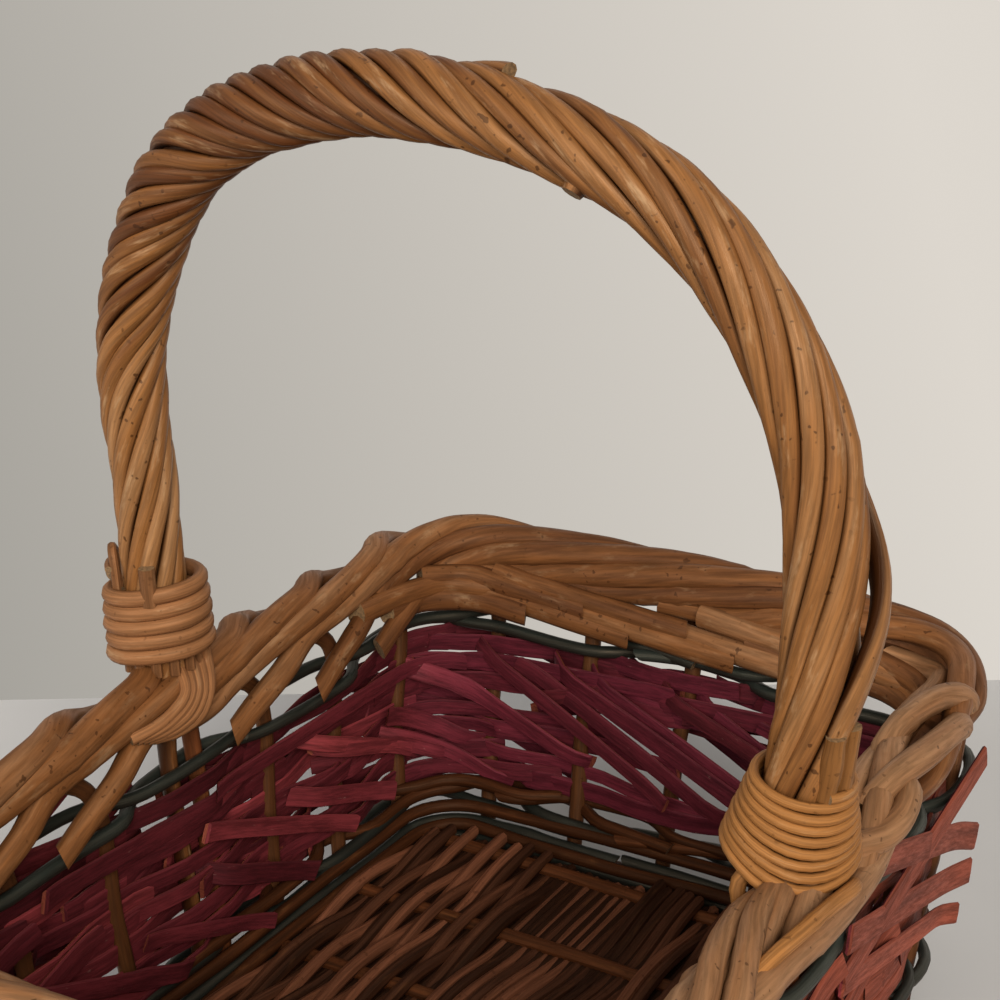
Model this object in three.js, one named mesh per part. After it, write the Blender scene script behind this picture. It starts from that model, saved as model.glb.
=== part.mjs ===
// Harvest basket of willow rods, in millimetres, +Z up, standing on the table at z = 0.
// X runs across the basket under the handle and Y along its length.
// Places round the wall are counted counter-clockwise from the right end of the handle, at +X.
import * as THREE from "three";

// Outlines, measured on the middle of the wall
const RIM_WIDTH = 250;
const RIM_LENGTH = 358;
const RIM_CORNER = 40;
const RIM_HEIGHT = 121;
const BASE_WIDTH = 227;
const BASE_LENGTH = 295;
const BASE_CORNER = 34;

// Fits between neighbouring rods
const CLEARANCE = 0.35;
const LOOSE_FIT = 2 * CLEARANCE;
const TABLE_GAP = 0.8;

// Uprights and the border that they are turned down into
const UPRIGHTS = 24;
const STAKE_DIAMETER = 6.8;
const BORDER_ROD_DIAMETER = 10.2;
const BORDER_THICKNESS = 30;
const BORDER_TURN = 4;
const BORDER_LEAD = 1.5;
const TAIL_DIAMETER = 7.6;
const TAIL_DROP = 30;
const RIGHT_RIM_DIP = 6;
const RIM_DIP_REACH = 45;
const HANDLE_SPREAD_REACH = 30;
const HANDLE_PASS = 0.55;

// Rods woven round the uprights
const WALE_DIAMETER = 5.4;
const WALE_DROP = 28;
const SIDING_ROWS = 5;
const SIDING_THICKNESS = 2.2;
const ROW_GAP = 0.5;

// Base
const FOOT_RING_INNER = 14;
const FOOT_RING_OUTER = 5;
const STICK_DIAMETER = 7;
const STICKS = 6;
const STICK_END_MARGIN = 25;
const STICK_INSET = 6;
const WEAVER_WIDTH = 5.8;
const WEAVER_GAP = 1.2;
const WEAVER_BLOCK = 4;

// Handle arch above the rim
const LEG_RISE = 75;
const SHOULDER_RISE = 141;
const HAUNCH_RISE = 200;
const CROWN_RISE = 224;
const CROWN_LEAN = 23.5;
const LEG_INSET = -2;
const LEFT_SHOULDER_INSET = -1;
const RIGHT_SHOULDER_INSET = 6;
const LEFT_HAUNCH_INSET = 31;
const RIGHT_HAUNCH_INSET = 49;
const FOOT_DIAMETER = 6.8;
const FOOT_SHIFT = 5;
const LINER_SHIFT = 9;

// Rods laid round the handle
const ROPE_RODS = 9;
const ROPE_LEFT_DIAMETER = 5.1;
const ROPE_RIGHT_DIAMETER = 6;
const ROPE_SLOW_PITCH = 260;
const ROPE_TIGHT_PITCH = 92;
const ROPE_TIGHT_AT = 0.36;
const ROPE_TIGHT_SPREAD = 0.2;
const ROPE_BEND = 0.84;
const ROPE_ALLOWANCE = 1.2;
const ROPE_STEPS = 44;

// Windings where the handle meets the rim
const LEFT_COLLAR_TURNS = 5;
const LEFT_COLLAR_DIAMETER = 6.2;
const RIGHT_COLLAR_TURNS = 8;
const RIGHT_COLLAR_DIAMETER = 3.7;
const COLLAR_GAP = 0.6;
const COLLAR_STEPS = 16;
const LASHING_PASSES = 4;
const LASHING_DIAMETER = 3.5;
const LASHING_PITCH = 5.1;
const LASHING_SLANT = 24;
const PEGS = 2;
const PEG_DIAMETER = 6;
const PEG_LENGTH = 15;

// Sides of the rods' sections
const LONG_ROD_SIDES = 5;
const SHORT_ROD_SIDES = 6;
const STICK_SIDES = 7;

// Heights from the table up
const stickSpacing = (BASE_LENGTH - 2 * STICK_END_MARGIN) / (STICKS - 1);
const stickClimb = (STICK_DIAMETER + WEAVER_WIDTH) / 2 + CLEARANCE;
const weaveCrest = stickClimb * Math.hypot(1, (2 * stickClimb) / stickSpacing);
const stickHeight = TABLE_GAP + WEAVER_WIDTH / 2 + weaveCrest;
const footHeight = stickHeight - STICK_DIAMETER / 2 - CLEARANCE;
const standHeight = footHeight + CLEARANCE;
const lowerWaleHeight = stickHeight + STICK_DIAMETER / 2 + CLEARANCE + WALE_DIAMETER / 2;
const waleStep = WALE_DIAMETER + ROW_GAP;
const upperWaleHeight = RIM_HEIGHT - WALE_DROP;
const sidingBottom = lowerWaleHeight + waleStep + WALE_DIAMETER / 2 + ROW_GAP;
const sidingTop = upperWaleHeight - waleStep - WALE_DIAMETER / 2 - ROW_GAP;
const sidingPitch = (sidingTop - sidingBottom + ROW_GAP) / SIDING_ROWS;
const stripHeight = sidingPitch - ROW_GAP;

// Border: the rods lie on a helix about the rim line, wider where the handle passes through
const borderRadius = (BORDER_THICKNESS - BORDER_ROD_DIAMETER) / 2;
const turnPerUpright = (2 * Math.PI) / BORDER_TURN;
const borderStart = -turnPerUpright * BORDER_LEAD;
const handleReach = (FOOT_DIAMETER + BORDER_ROD_DIAMETER) / 2 + CLEARANCE;
const handleSpread = handleReach / Math.cos(turnPerUpright * HANDLE_PASS) - borderRadius;
const borderTop = borderRadius + handleSpread + BORDER_ROD_DIAMETER / 2;
const RIGHT_HANDLE = 0;
const LEFT_HANDLE = UPRIGHTS / 2;

const vector = (x, y, z) => new THREE.Vector3(x, y, z);
const mix = THREE.MathUtils.lerp;

// A rectangle with round corners, as a path from the middle of its +X side
function outline(width, length, corner) {
  const x = width / 2 - corner;
  const y = length / 2 - corner;
  return new THREE.Path()
    .moveTo(x + corner, 0)
    .lineTo(x + corner, y)
    .absarc(x, y, corner, 0, Math.PI / 2)
    .lineTo(-x, y + corner)
    .absarc(-x, y, corner, Math.PI / 2, Math.PI)
    .lineTo(-x - corner, -y)
    .absarc(-x, -y, corner, Math.PI, 1.5 * Math.PI)
    .lineTo(x, -y - corner)
    .absarc(x, -y, corner, 1.5 * Math.PI, 2 * Math.PI)
    .lineTo(x + corner, 0);
}

const rimOutline = outline(RIM_WIDTH, RIM_LENGTH, RIM_CORNER);
const baseOutline = outline(BASE_WIDTH, BASE_LENGTH, BASE_CORNER);
const rimSpacing = rimOutline.getLength() / UPRIGHTS;

// The point of an outline at a place, and the direction straight out of the basket there
function onOutline(path, place) {
  const share = THREE.MathUtils.euclideanModulo(place / UPRIGHTS, 1);
  const point = path.getPoint(share);
  const along = path.getTangent(share);
  return { point: vector(point.x, point.y, 0), out: vector(along.y, -along.x, 0) };
}

// A point of the wall at a place and height, stood off from its middle
function wallAt(place, height, standOff = 0) {
  const top = onOutline(rimOutline, place);
  const foot = onOutline(baseOutline, place);
  const rise = height / RIM_HEIGHT;
  const out = foot.out.lerp(top.out, rise).normalize();
  const point = foot.point.lerp(top.point, rise).addScaledVector(out, standOff);
  return point.setZ(height);
}

// The foot of an upright, whose leaning end just clears the foot ring
function standOn(place) {
  const lean = wallAt(place, 0).setZ(0).distanceTo(wallAt(place, RIM_HEIGHT).setZ(0)) / RIM_HEIGHT;
  return wallAt(place, standHeight + (lean * STAKE_DIAMETER) / 2);
}

// How far along the rim a place lies from an end of the handle
function fromHandle(place, handle) {
  const half = UPRIGHTS / 2;
  return (THREE.MathUtils.euclideanModulo(place - handle + half, UPRIGHTS) - half) * rimSpacing;
}

const fade = (distance, reach) => Math.exp(-((distance / reach) ** 2));

function rimHeightAt(place) {
  return RIM_HEIGHT - RIGHT_RIM_DIP * fade(fromHandle(place, RIGHT_HANDLE), RIM_DIP_REACH);
}

// A point beside the rim line, stood off outwards and upwards
function rimAt(place, outwards, upwards) {
  const { point, out } = onOutline(rimOutline, place);
  return point.addScaledVector(out, outwards).setZ(rimHeightAt(place) + upwards);
}

function borderAt(place, angle) {
  const left = fade(fromHandle(place, LEFT_HANDLE), HANDLE_SPREAD_REACH);
  const right = fade(fromHandle(place, RIGHT_HANDLE), HANDLE_SPREAD_REACH);
  const radius = borderRadius + handleSpread * Math.max(left, right);
  return rimAt(place, radius * Math.cos(angle), radius * Math.sin(angle));
}

// Direction of a line of points at each point
function tangents(points, closed) {
  const last = points.length - 1;
  return points.map((point, i) => {
    const before = points[i - 1] ?? (closed ? points[last] : point);
    const after = points[i + 1] ?? (closed ? points[0] : point);
    return after.clone().sub(before).normalize();
  });
}

// A closed body of rings joined in order, with flat ends or closed on itself
function loft(rings, closed) {
  const sides = rings[0].length;
  const index = [];
  const spans = closed ? rings.length : rings.length - 1;
  for (let i = 0; i < spans; i += 1) {
    const next = ((i + 1) % rings.length) * sides;
    for (let k = 0; k < sides; k += 1) {
      const turn = (k + 1) % sides;
      index.push(i * sides + k, i * sides + turn, next + turn);
      index.push(i * sides + k, next + turn, next + k);
    }
  }
  const end = (rings.length - 1) * sides;
  for (let k = 1; k < sides - 1 && !closed; k += 1) {
    index.push(0, k + 1, k);
    index.push(end, end + k, end + k + 1);
  }
  const geometry = new THREE.BufferGeometry().setFromPoints(rings.flat());
  geometry.setIndex(index);
  geometry.computeVertexNormals();
  return geometry;
}

// A round rod along open points, its diameter fixed or given for each point
function rod(points, diameter, sides) {
  const along = tangents(points, false);
  let side = Math.abs(along[0].z) < 0.9 ? vector(0, 0, 1) : vector(1, 0, 0);
  const rings = points.map((point, i) => {
    side = side.clone().addScaledVector(along[i], -side.dot(along[i])).normalize();
    const across = along[i].clone().cross(side);
    const radius = (Array.isArray(diameter) ? diameter[i] : diameter) / 2;
    return Array.from({ length: sides }, (_, k) => {
      const angle = (2 * Math.PI * k) / sides;
      return point
        .clone()
        .addScaledVector(side, radius * Math.cos(angle))
        .addScaledVector(across, radius * Math.sin(angle));
    });
  });
  return loft(rings, false);
}

// A bar whose section, given as pairs outwards and upwards, stays upright along the points
function uprightBar(points, section, closed, lean = () => vector(0, 0, 1)) {
  const along = tangents(points, closed);
  const rings = points.map((point, i) => {
    const up = lean(i);
    const out = along[i].clone().cross(up).normalize();
    return section.map(([outwards, upwards]) =>
      point.clone().addScaledVector(out, outwards).addScaledVector(up, upwards),
    );
  });
  return loft(rings, closed);
}

// Corners of a section, counter-clockwise as seen by one who looks back along the bar
const rectangle = (x0, x1, z0, z1) => [
  [x0, z0],
  [x0, z1],
  [x1, z1],
  [x1, z0],
];
const polygon = (diameter, sides) =>
  Array.from({ length: sides }, (_, k) => {
    const angle = -(2 * Math.PI * (k + 0.5)) / sides - Math.PI / 2;
    return [(diameter / 2) * Math.cos(angle), (diameter / 2) * Math.sin(angle)];
  });

// Prints the least gap of a wound rod to itself, measured between points well apart on it
function selfGap(name, points, diameter, apart) {
  let least = Infinity;
  points.forEach((point, i) => {
    points.slice(i + apart).forEach((other) => {
      least = Math.min(least, point.distanceTo(other) - diameter);
    });
  });
  console.log(`${name}: least gap to itself ${least.toFixed(2)} mm`);
}

const basket = new THREE.Group();

const willow = {
  handle: { color: 0xa8713a, roughness: 0.5, metalness: 0 },
  leftCollar: { color: 0xb98a5e, roughness: 0.55, metalness: 0 },
  rightCollar: { color: 0xb07f3c, roughness: 0.5, metalness: 0 },
  border: { color: 0x9a6530, roughness: 0.55, metalness: 0 },
  upright: { color: 0x5f3a22, roughness: 0.6, metalness: 0 },
  green: { color: 0x2b2d1c, roughness: 0.55, metalness: 0 },
  siding: { color: 0x7d2a24, roughness: 0.65, metalness: 0 },
  base: { color: 0x4a2d1c, roughness: 0.65, metalness: 0 },
};

function add(name, geometry, finish) {
  const mesh = new THREE.Mesh(geometry, new THREE.MeshStandardMaterial(finish));
  mesh.name = name;
  basket.add(mesh);
}

// Uprights: each stake stands on the foot ring and is turned down into the border
const isHandle = (place) => place === RIGHT_HANDLE || place === LEFT_HANDLE;

// Height where a stake leaves the wall and begins to bend along the rim
const straightTop = upperWaleHeight + WALE_DIAMETER / 2 + CLEARANCE;
const bendDrop = borderRadius + BORDER_ROD_DIAMETER;
const WALE_ALLOWANCE = 1.2;
const waleReach = STAKE_DIAMETER / 2 + WALE_DIAMETER * WALE_ALLOWANCE;
const tailStandOff = waleReach + TAIL_DIAMETER / 2 + LOOSE_FIT + CLEARANCE;

function stakeRod(place) {
  const BEND_SHIFT = 0.1;
  const BEND_SHARE = 0.98;
  const BEND_SWELL = 0.4;
  const BORDER_FROM = 0.5;
  const BORDER_STEP = 0.25;
  const TAIL_FROM = 3.5;
  const TRIMMED_AT = 3.25;
  const TAIL_PLACES = [3.68, 3.8, 3.88];
  const TAIL_SHARES = [0.27, 0.62, 1];
  const TAIL_ENTRY = 0.6;
  const endsAtHandle = isHandle((place + BORDER_TURN) % UPRIGHTS);
  const last = endsAtHandle ? TRIMMED_AT : TAIL_FROM;
  const angleAt = (passed) => borderStart + turnPerUpright * passed;
  const points = [standOn(place), wallAt(place, straightTop)];
  const diameters = [STAKE_DIAMETER, STAKE_DIAMETER];
  points.push(wallAt(place + BEND_SHIFT, rimHeightAt(place) - bendDrop * BEND_SHARE));
  diameters.push(mix(STAKE_DIAMETER, BORDER_ROD_DIAMETER, BEND_SWELL));
  for (let passed = BORDER_FROM; passed <= last; passed += BORDER_STEP) {
    points.push(borderAt(place + passed, angleAt(passed)));
    diameters.push(BORDER_ROD_DIAMETER);
  }
  if (!endsAtHandle) {
    TAIL_PLACES.forEach((passed, i) => {
      const at = place + passed;
      const standOff = i === 0 ? mix(borderRadius, tailStandOff, TAIL_ENTRY) : tailStandOff;
      points.push(wallAt(at, rimHeightAt(at) - TAIL_DROP * TAIL_SHARES[i], -standOff));
      diameters.push(i === 0 ? BORDER_ROD_DIAMETER : TAIL_DIAMETER);
    });
  }
  return rod(points, diameters, LONG_ROD_SIDES);
}

for (let place = 0; place < UPRIGHTS; place += 1) {
  if (!isHandle(place)) {
    add(`stake_${String(place).padStart(2, "0")}`, stakeRod(place), willow.upright);
  }
}

// Places of the rods that stand at one weaving place: one stake, or a handle foot and its liner
function standing(place) {
  if (!isHandle(place)) return [place];
  return [place - LINER_SHIFT / rimSpacing, place + FOOT_SHIFT / rimSpacing];
}

for (const [side, place] of [["left", LEFT_HANDLE], ["right", RIGHT_HANDLE]]) {
  const [at] = standing(place);
  const top = rimHeightAt(place) - borderTop - CLEARANCE;
  const line = [standOn(at), wallAt(at, top)];
  add(`${side}_liner`, rod(line, STAKE_DIAMETER, SHORT_ROD_SIDES), willow.upright);
}

// Weaving: a line that passes inside and outside the uprights in turn and clears each of them
function weaveLine(height, thickness, phase) {
  const reach = STAKE_DIAMETER / 2 + thickness / 2 + CLEARANCE;
  const CORNER_TURN = 0.1;
  const marks = [];
  for (let place = 0; place < UPRIGHTS; place += 1) {
    const side = (place + phase) % 2 === 0 ? 1 : -1;
    standing(place).forEach((at) => marks.push({ at, side, standOff: reach * side }));
    const turn = onOutline(rimOutline, place).out.angleTo(onOutline(rimOutline, place + 1).out);
    if (turn > CORNER_TURN) marks.push({ at: place + 0.5, side: 0, standOff: 0 });
  }
  const placed = () => marks.map((mark) => wallAt(mark.at, height, mark.standOff));
  const SETTLING_ROUNDS = 6;
  for (let round = 0; round < SETTLING_ROUNDS; round += 1) {
    const points = placed();
    marks.forEach((mark, i) => {
      if (mark.side === 0) return;
      const upright = wallAt(mark.at, height);
      const neighbours = [points.at(i - 1), points[(i + 1) % points.length]];
      const least = neighbours.map((end) => {
        const run = new THREE.Line3(points[i], end);
        return run.closestPointToPoint(upright, true, vector()).distanceTo(upright);
      });
      mark.standOff *= Math.max(1, reach / Math.min(...least));
    });
  }
  const lean = (i) => {
    const { at } = marks[i];
    return wallAt(at, height + 1).sub(wallAt(at, height)).normalize();
  };
  return { points: placed(), lean };
}

function wale(height, phase) {
  const { points } = weaveLine(height, WALE_DIAMETER, phase);
  return uprightBar(points, polygon(WALE_DIAMETER, LONG_ROD_SIDES), true);
}

add("lower_wale_1", wale(lowerWaleHeight, 0), willow.green);
add("lower_wale_2", wale(lowerWaleHeight + waleStep, 1), willow.upright);
add("upper_wale_1", wale(upperWaleHeight - waleStep, 0), willow.green);
add("upper_wale_2", wale(upperWaleHeight, 1), willow.green);

for (let row = 0; row < SIDING_ROWS; row += 1) {
  const height = sidingBottom + sidingPitch * row + stripHeight / 2;
  const { points, lean } = weaveLine(height, SIDING_THICKNESS, row);
  const half = SIDING_THICKNESS / 2;
  const section = rectangle(-half, half, -stripHeight / 2, stripHeight / 2);
  add(`siding_row_${row + 1}`, uprightBar(points, section, true, lean), willow.siding);
}

// Base: a flat ring under the uprights, sticks across it and one rod woven to and fro along it
function footRing() {
  const CORNER_STEPS = 4;
  const x = BASE_WIDTH / 2 - BASE_CORNER;
  const y = BASE_LENGTH / 2 - BASE_CORNER;
  const points = [];
  [[x, y], [-x, y], [-x, -y], [x, -y]].forEach(([cx, cy], quarter) => {
    for (let step = 0; step <= CORNER_STEPS; step += 1) {
      const angle = (Math.PI / 2) * (quarter + step / CORNER_STEPS);
      points.push(vector(cx + BASE_CORNER * Math.cos(angle), cy + BASE_CORNER * Math.sin(angle), 0));
    }
  });
  return uprightBar(points, rectangle(-FOOT_RING_INNER, FOOT_RING_OUTER, 0, footHeight), true);
}

const stickLine = (number) => (number - (STICKS - 1) / 2) * stickSpacing;

function baseStick(number) {
  const reach = BASE_WIDTH / 2 - STICK_INSET;
  const y = stickLine(number);
  return rod([vector(-reach, y, stickHeight), vector(reach, y, stickHeight)], STICK_DIAMETER, STICK_SIDES);
}

function baseWeave() {
  const inset = FOOT_RING_INNER + CLEARANCE + WEAVER_WIDTH / 2;
  const reach = BASE_WIDTH / 2 - inset;
  const corner = BASE_CORNER - inset;
  const pitch = WEAVER_WIDTH + WEAVER_GAP;
  const passes = 2 * Math.floor(reach / pitch) + 1;
  const halfLength = (x) => {
    const past = Math.max(0, Math.abs(x) - (reach - corner));
    const full = BASE_LENGTH / 2 - inset;
    return full - corner + Math.sqrt(Math.max(0, corner ** 2 - past ** 2));
  };
  const points = [];
  for (let pass = 0; pass < passes; pass += 1) {
    const x = (pass - (passes - 1) / 2) * pitch;
    const end = halfLength(x);
    const block = Math.floor(pass / WEAVER_BLOCK);
    const line = [];
    for (let number = 0; number < STICKS; number += 1) {
      const over = (number + block) % 2 === 0 ? 1 : -1;
      const y = stickLine(number);
      if (Math.abs(y) < end) {
        line.push(vector(x, y, stickHeight + over * weaveCrest));
      }
    }
    const first = line[0].clone().setY(-end);
    const last = line.at(-1).clone().setY(end);
    const run = [first, ...line, last];
    points.push(...(pass % 2 === 0 ? run : run.reverse()));
  }
  const half = WEAVER_WIDTH / 2;
  return uprightBar(points, rectangle(-half, half, -half, half), false);
}

add("foot_ring", footRing(), willow.base);
for (let number = 0; number < STICKS; number += 1) {
  add(`base_stick_${number + 1}`, baseStick(number), willow.upright);
}
add("base_weave", baseWeave(), willow.base);

// Handle: a core that runs through the border into the wall, with rods laid round its arch
const leftRim = rimHeightAt(LEFT_HANDLE);
const rightRim = rimHeightAt(RIGHT_HANDLE);
const halfSpan = RIM_WIDTH / 2;
const archPoint = (side, inset, rise) => vector(side * (halfSpan - inset), 0, RIM_HEIGHT + rise);
const arch = new THREE.CatmullRomCurve3([
  vector(-halfSpan, 0, leftRim),
  archPoint(-1, LEG_INSET, LEG_RISE),
  archPoint(-1, LEFT_SHOULDER_INSET, SHOULDER_RISE),
  archPoint(-1, LEFT_HAUNCH_INSET, HAUNCH_RISE),
  vector(-CROWN_LEAN, 0, RIM_HEIGHT + CROWN_RISE),
  archPoint(1, RIGHT_HAUNCH_INSET, HAUNCH_RISE),
  archPoint(1, RIGHT_SHOULDER_INSET, SHOULDER_RISE),
  archPoint(1, LEG_INSET, LEG_RISE),
  vector(halfSpan, 0, rightRim),
]);
const ARCH_DIVISIONS = 800;
arch.arcLengthDivisions = ARCH_DIVISIONS;
const archLength = arch.getLength();
const ropeStart = (borderTop + CLEARANCE) / archLength;

// Turns of the rods round the core for each millimetre of arch
function layRate(share) {
  const tight = fade(share - ROPE_TIGHT_AT, ROPE_TIGHT_SPREAD);
  return mix(1 / ROPE_SLOW_PITCH, 1 / ROPE_TIGHT_PITCH, tight);
}

const ropeDiameter = (share) => mix(ROPE_LEFT_DIAMETER, ROPE_RIGHT_DIAMETER, share);

// Distance of the laid rods' centres from the core's line, so that they lie side by side
function layRadius(share) {
  const spacing = ropeDiameter(share) + CLEARANCE;
  const straight = spacing / (2 * Math.sin(Math.PI / ROPE_RODS));
  const slope = (2 * Math.PI * straight * layRate(share)) / ROPE_BEND;
  return straight * Math.hypot(1, slope * ROPE_ALLOWANCE);
}

// A point beside the arch: angle 0 faces the front, a quarter turn faces the inside of the arch
function besideArch(share, radius, angle) {
  const front = vector(0, -1, 0);
  const inside = arch.getTangentAt(share).cross(front);
  return arch
    .getPointAt(share)
    .addScaledVector(front, radius * Math.cos(angle))
    .addScaledVector(inside, radius * Math.sin(angle));
}

const ropeShares = Array.from({ length: ROPE_STEPS + 1 }, (_, step) =>
  mix(ropeStart, 1 - ropeStart, step / ROPE_STEPS),
);
const ropeTurns = [0];
ropeShares.slice(1).forEach((share, i) => {
  const middle = (share + ropeShares[i]) / 2;
  ropeTurns.push(ropeTurns[i] + layRate(middle) * (share - ropeShares[i]) * archLength);
});

for (let number = 0; number < ROPE_RODS; number += 1) {
  const points = ropeShares.map((share, i) => {
    const angle = 2 * Math.PI * (ropeTurns[i] + number / ROPE_RODS);
    return besideArch(share, layRadius(share), angle);
  });
  add(`handle_rod_${number + 1}`, rod(points, ropeShares.map(ropeDiameter), LONG_ROD_SIDES), willow.handle);
}

// The core fills the lay, less the inward bow of the rods between two of their points
function coreDiameter(share) {
  const step = (2 * Math.PI * layRate(share) * archLength) / ROPE_STEPS;
  const inside = layRadius(share) * Math.cos(step / 2) - ropeDiameter(share) / 2 - CLEARANCE;
  return 2 * inside;
}

function handleCore() {
  const CORE_STEPS = 40;
  const CORE_FROM = 0.7 * ropeStart;
  const FOOT_TAPER = 0.02;
  const foot = (place) => {
    const [, at] = standing(place);
    const top = upperWaleHeight + WALE_DIAMETER;
    return [standOn(at), wallAt(at, top)];
  };
  const points = foot(LEFT_HANDLE);
  const diameters = [FOOT_DIAMETER, FOOT_DIAMETER];
  for (let step = 0; step <= CORE_STEPS; step += 1) {
    const share = mix(CORE_FROM, 1 - CORE_FROM, step / CORE_STEPS);
    const inRope = Math.min(share, 1 - share) > ropeStart + FOOT_TAPER / 2;
    points.push(arch.getPointAt(share));
    diameters.push(inRope ? coreDiameter(share) : FOOT_DIAMETER);
  }
  points.push(...foot(RIGHT_HANDLE).reverse());
  diameters.push(FOOT_DIAMETER, FOOT_DIAMETER);
  return rod(points, diameters, SHORT_ROD_SIDES);
}

add("handle_core", handleCore(), willow.handle);

// Collars: one rod wound round the roped leg, just above the border
const collarPitch = (diameter) => diameter + COLLAR_GAP;

function collarPoints(turns, diameter, shareAt) {
  const steps = turns * COLLAR_STEPS;
  return Array.from({ length: steps + 1 }, (_, step) => {
    const climb = ((step / COLLAR_STEPS) * collarPitch(diameter)) / archLength;
    const share = shareAt(ropeStart + (diameter / 2 + CLEARANCE) / archLength + climb);
    const inner = layRadius(share) + ropeDiameter(share) / 2 + CLEARANCE;
    const radius = (inner + diameter / 2) / Math.cos(Math.PI / COLLAR_STEPS);
    return besideArch(share, radius, (2 * Math.PI * step) / COLLAR_STEPS);
  });
}

const leftCollar = collarPoints(LEFT_COLLAR_TURNS, LEFT_COLLAR_DIAMETER, (share) => share);
const rightCollar = collarPoints(RIGHT_COLLAR_TURNS, RIGHT_COLLAR_DIAMETER, (share) => 1 - share);
selfGap("left_collar", leftCollar, LEFT_COLLAR_DIAMETER, COLLAR_STEPS / 2);
selfGap("right_collar", rightCollar, RIGHT_COLLAR_DIAMETER, COLLAR_STEPS / 2);
add("left_collar", rod(leftCollar, LEFT_COLLAR_DIAMETER, LONG_ROD_SIDES), willow.leftCollar);
add("right_collar", rod(rightCollar, RIGHT_COLLAR_DIAMETER, LONG_ROD_SIDES), willow.rightCollar);

// Lashing: one rod that passes to and fro under the border beside the left foot of the handle
function lashingPoints() {
  const SLANT_FROM = 1.32 * Math.PI;
  const INSIDE_END = 0.8 * Math.PI;
  const OUTSIDE_END = 1.85 * Math.PI;
  const PASS_STEPS = 10;
  const reach = borderTop + LASHING_DIAMETER / 2;
  const footEdge = FOOT_SHIFT + FOOT_DIAMETER / 2 + LOOSE_FIT + LASHING_DIAMETER / 2;
  const points = [];
  for (let pass = 0; pass < LASHING_PASSES; pass += 1) {
    const under = footEdge + pass * LASHING_PITCH;
    const line = Array.from({ length: PASS_STEPS + 1 }, (_, step) => {
      const angle = mix(INSIDE_END, OUTSIDE_END, step / PASS_STEPS);
      const slant = Math.max(0, (SLANT_FROM - angle) / (SLANT_FROM - INSIDE_END)) * LASHING_SLANT;
      const place = LEFT_HANDLE + (under - slant) / rimSpacing;
      return rimAt(place, reach * Math.cos(angle), reach * Math.sin(angle));
    });
    points.push(...(pass % 2 === 0 ? line : line.reverse()));
  }
  return points;
}

const lashing = lashingPoints();
const LASHING_APART = 4;
selfGap("left_lashing", lashing, LASHING_DIAMETER, LASHING_APART);
add("left_lashing", rod(lashing, LASHING_DIAMETER, LONG_ROD_SIDES), willow.leftCollar);

// Pegs: cut rod ends that stand on the right collar beside the handle
for (let number = 0; number < PEGS; number += 1) {
  const OUTWARDS = -0.25 * Math.PI;
  const PEG_ANGLE = -0.15 * Math.PI;
  const collarTurns = RIGHT_COLLAR_TURNS * collarPitch(RIGHT_COLLAR_DIAMETER);
  const stand = ropeStart + (collarTurns + RIGHT_COLLAR_DIAMETER + LOOSE_FIT) / archLength;
  const shares = [1 - stand, 1 - stand - PEG_LENGTH / archLength];
  const line = shares.map((share) => {
    const inner = layRadius(share) + ropeDiameter(share) / 2;
    return besideArch(share, inner + PEG_DIAMETER / 2, OUTWARDS + PEG_ANGLE * number);
  });
  add(`right_peg_${number + 1}`, rod(line, PEG_DIAMETER, SHORT_ROD_SIDES), willow.rightCollar);
}

export default basket;
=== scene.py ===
import math
import random

import bmesh
import bpy
from bpy.props import FloatProperty, FloatVectorProperty, PointerProperty
from mathutils import Matrix, Vector, noise


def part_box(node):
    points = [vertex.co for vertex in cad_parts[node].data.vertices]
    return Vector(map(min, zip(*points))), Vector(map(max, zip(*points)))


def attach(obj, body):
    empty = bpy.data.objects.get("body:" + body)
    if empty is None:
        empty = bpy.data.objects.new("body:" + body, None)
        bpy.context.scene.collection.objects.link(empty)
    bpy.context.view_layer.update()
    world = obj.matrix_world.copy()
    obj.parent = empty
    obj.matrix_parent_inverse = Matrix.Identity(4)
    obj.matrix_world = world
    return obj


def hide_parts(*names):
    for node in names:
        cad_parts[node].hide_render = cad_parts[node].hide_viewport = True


bl_info = {
    "name": "Harvest basket",
    "version": (1, 0, 0),
    "blender": (4, 5, 0),
    "location": "View3D > Sidebar > Basket",
    "description": "Willow harvest basket with stained siding and a high laid handle",
    "category": "Add Mesh",
}

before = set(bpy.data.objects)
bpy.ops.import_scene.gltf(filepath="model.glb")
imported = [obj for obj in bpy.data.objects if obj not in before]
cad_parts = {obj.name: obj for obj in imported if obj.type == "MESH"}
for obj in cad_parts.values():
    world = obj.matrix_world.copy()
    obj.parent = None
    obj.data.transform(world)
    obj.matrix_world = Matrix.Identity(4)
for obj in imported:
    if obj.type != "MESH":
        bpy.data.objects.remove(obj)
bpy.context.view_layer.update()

UPRIGHTS = 24
RIGHT_HANDLE = 0
LEFT_HANDLE = UPRIGHTS // 2
LAID_RODS = 9
INSIDE = -1
OUTSIDE = 1
UP = Vector((0, 0, 1))
FRONT = Vector((0, -1, 0))
FULL_TURN = 2 * math.pi


def length(name, description, default):
    return FloatProperty(name=name, description=description, default=default, unit="LENGTH", precision=4)


def turn_of(name, description, degrees):
    return FloatProperty(name=name, description=description, default=math.radians(degrees), subtype="ANGLE")


def colour(name, description, default):
    return FloatVectorProperty(
        name=name, description=description, default=default, subtype="COLOR", size=3, min=0, max=1
    )


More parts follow.
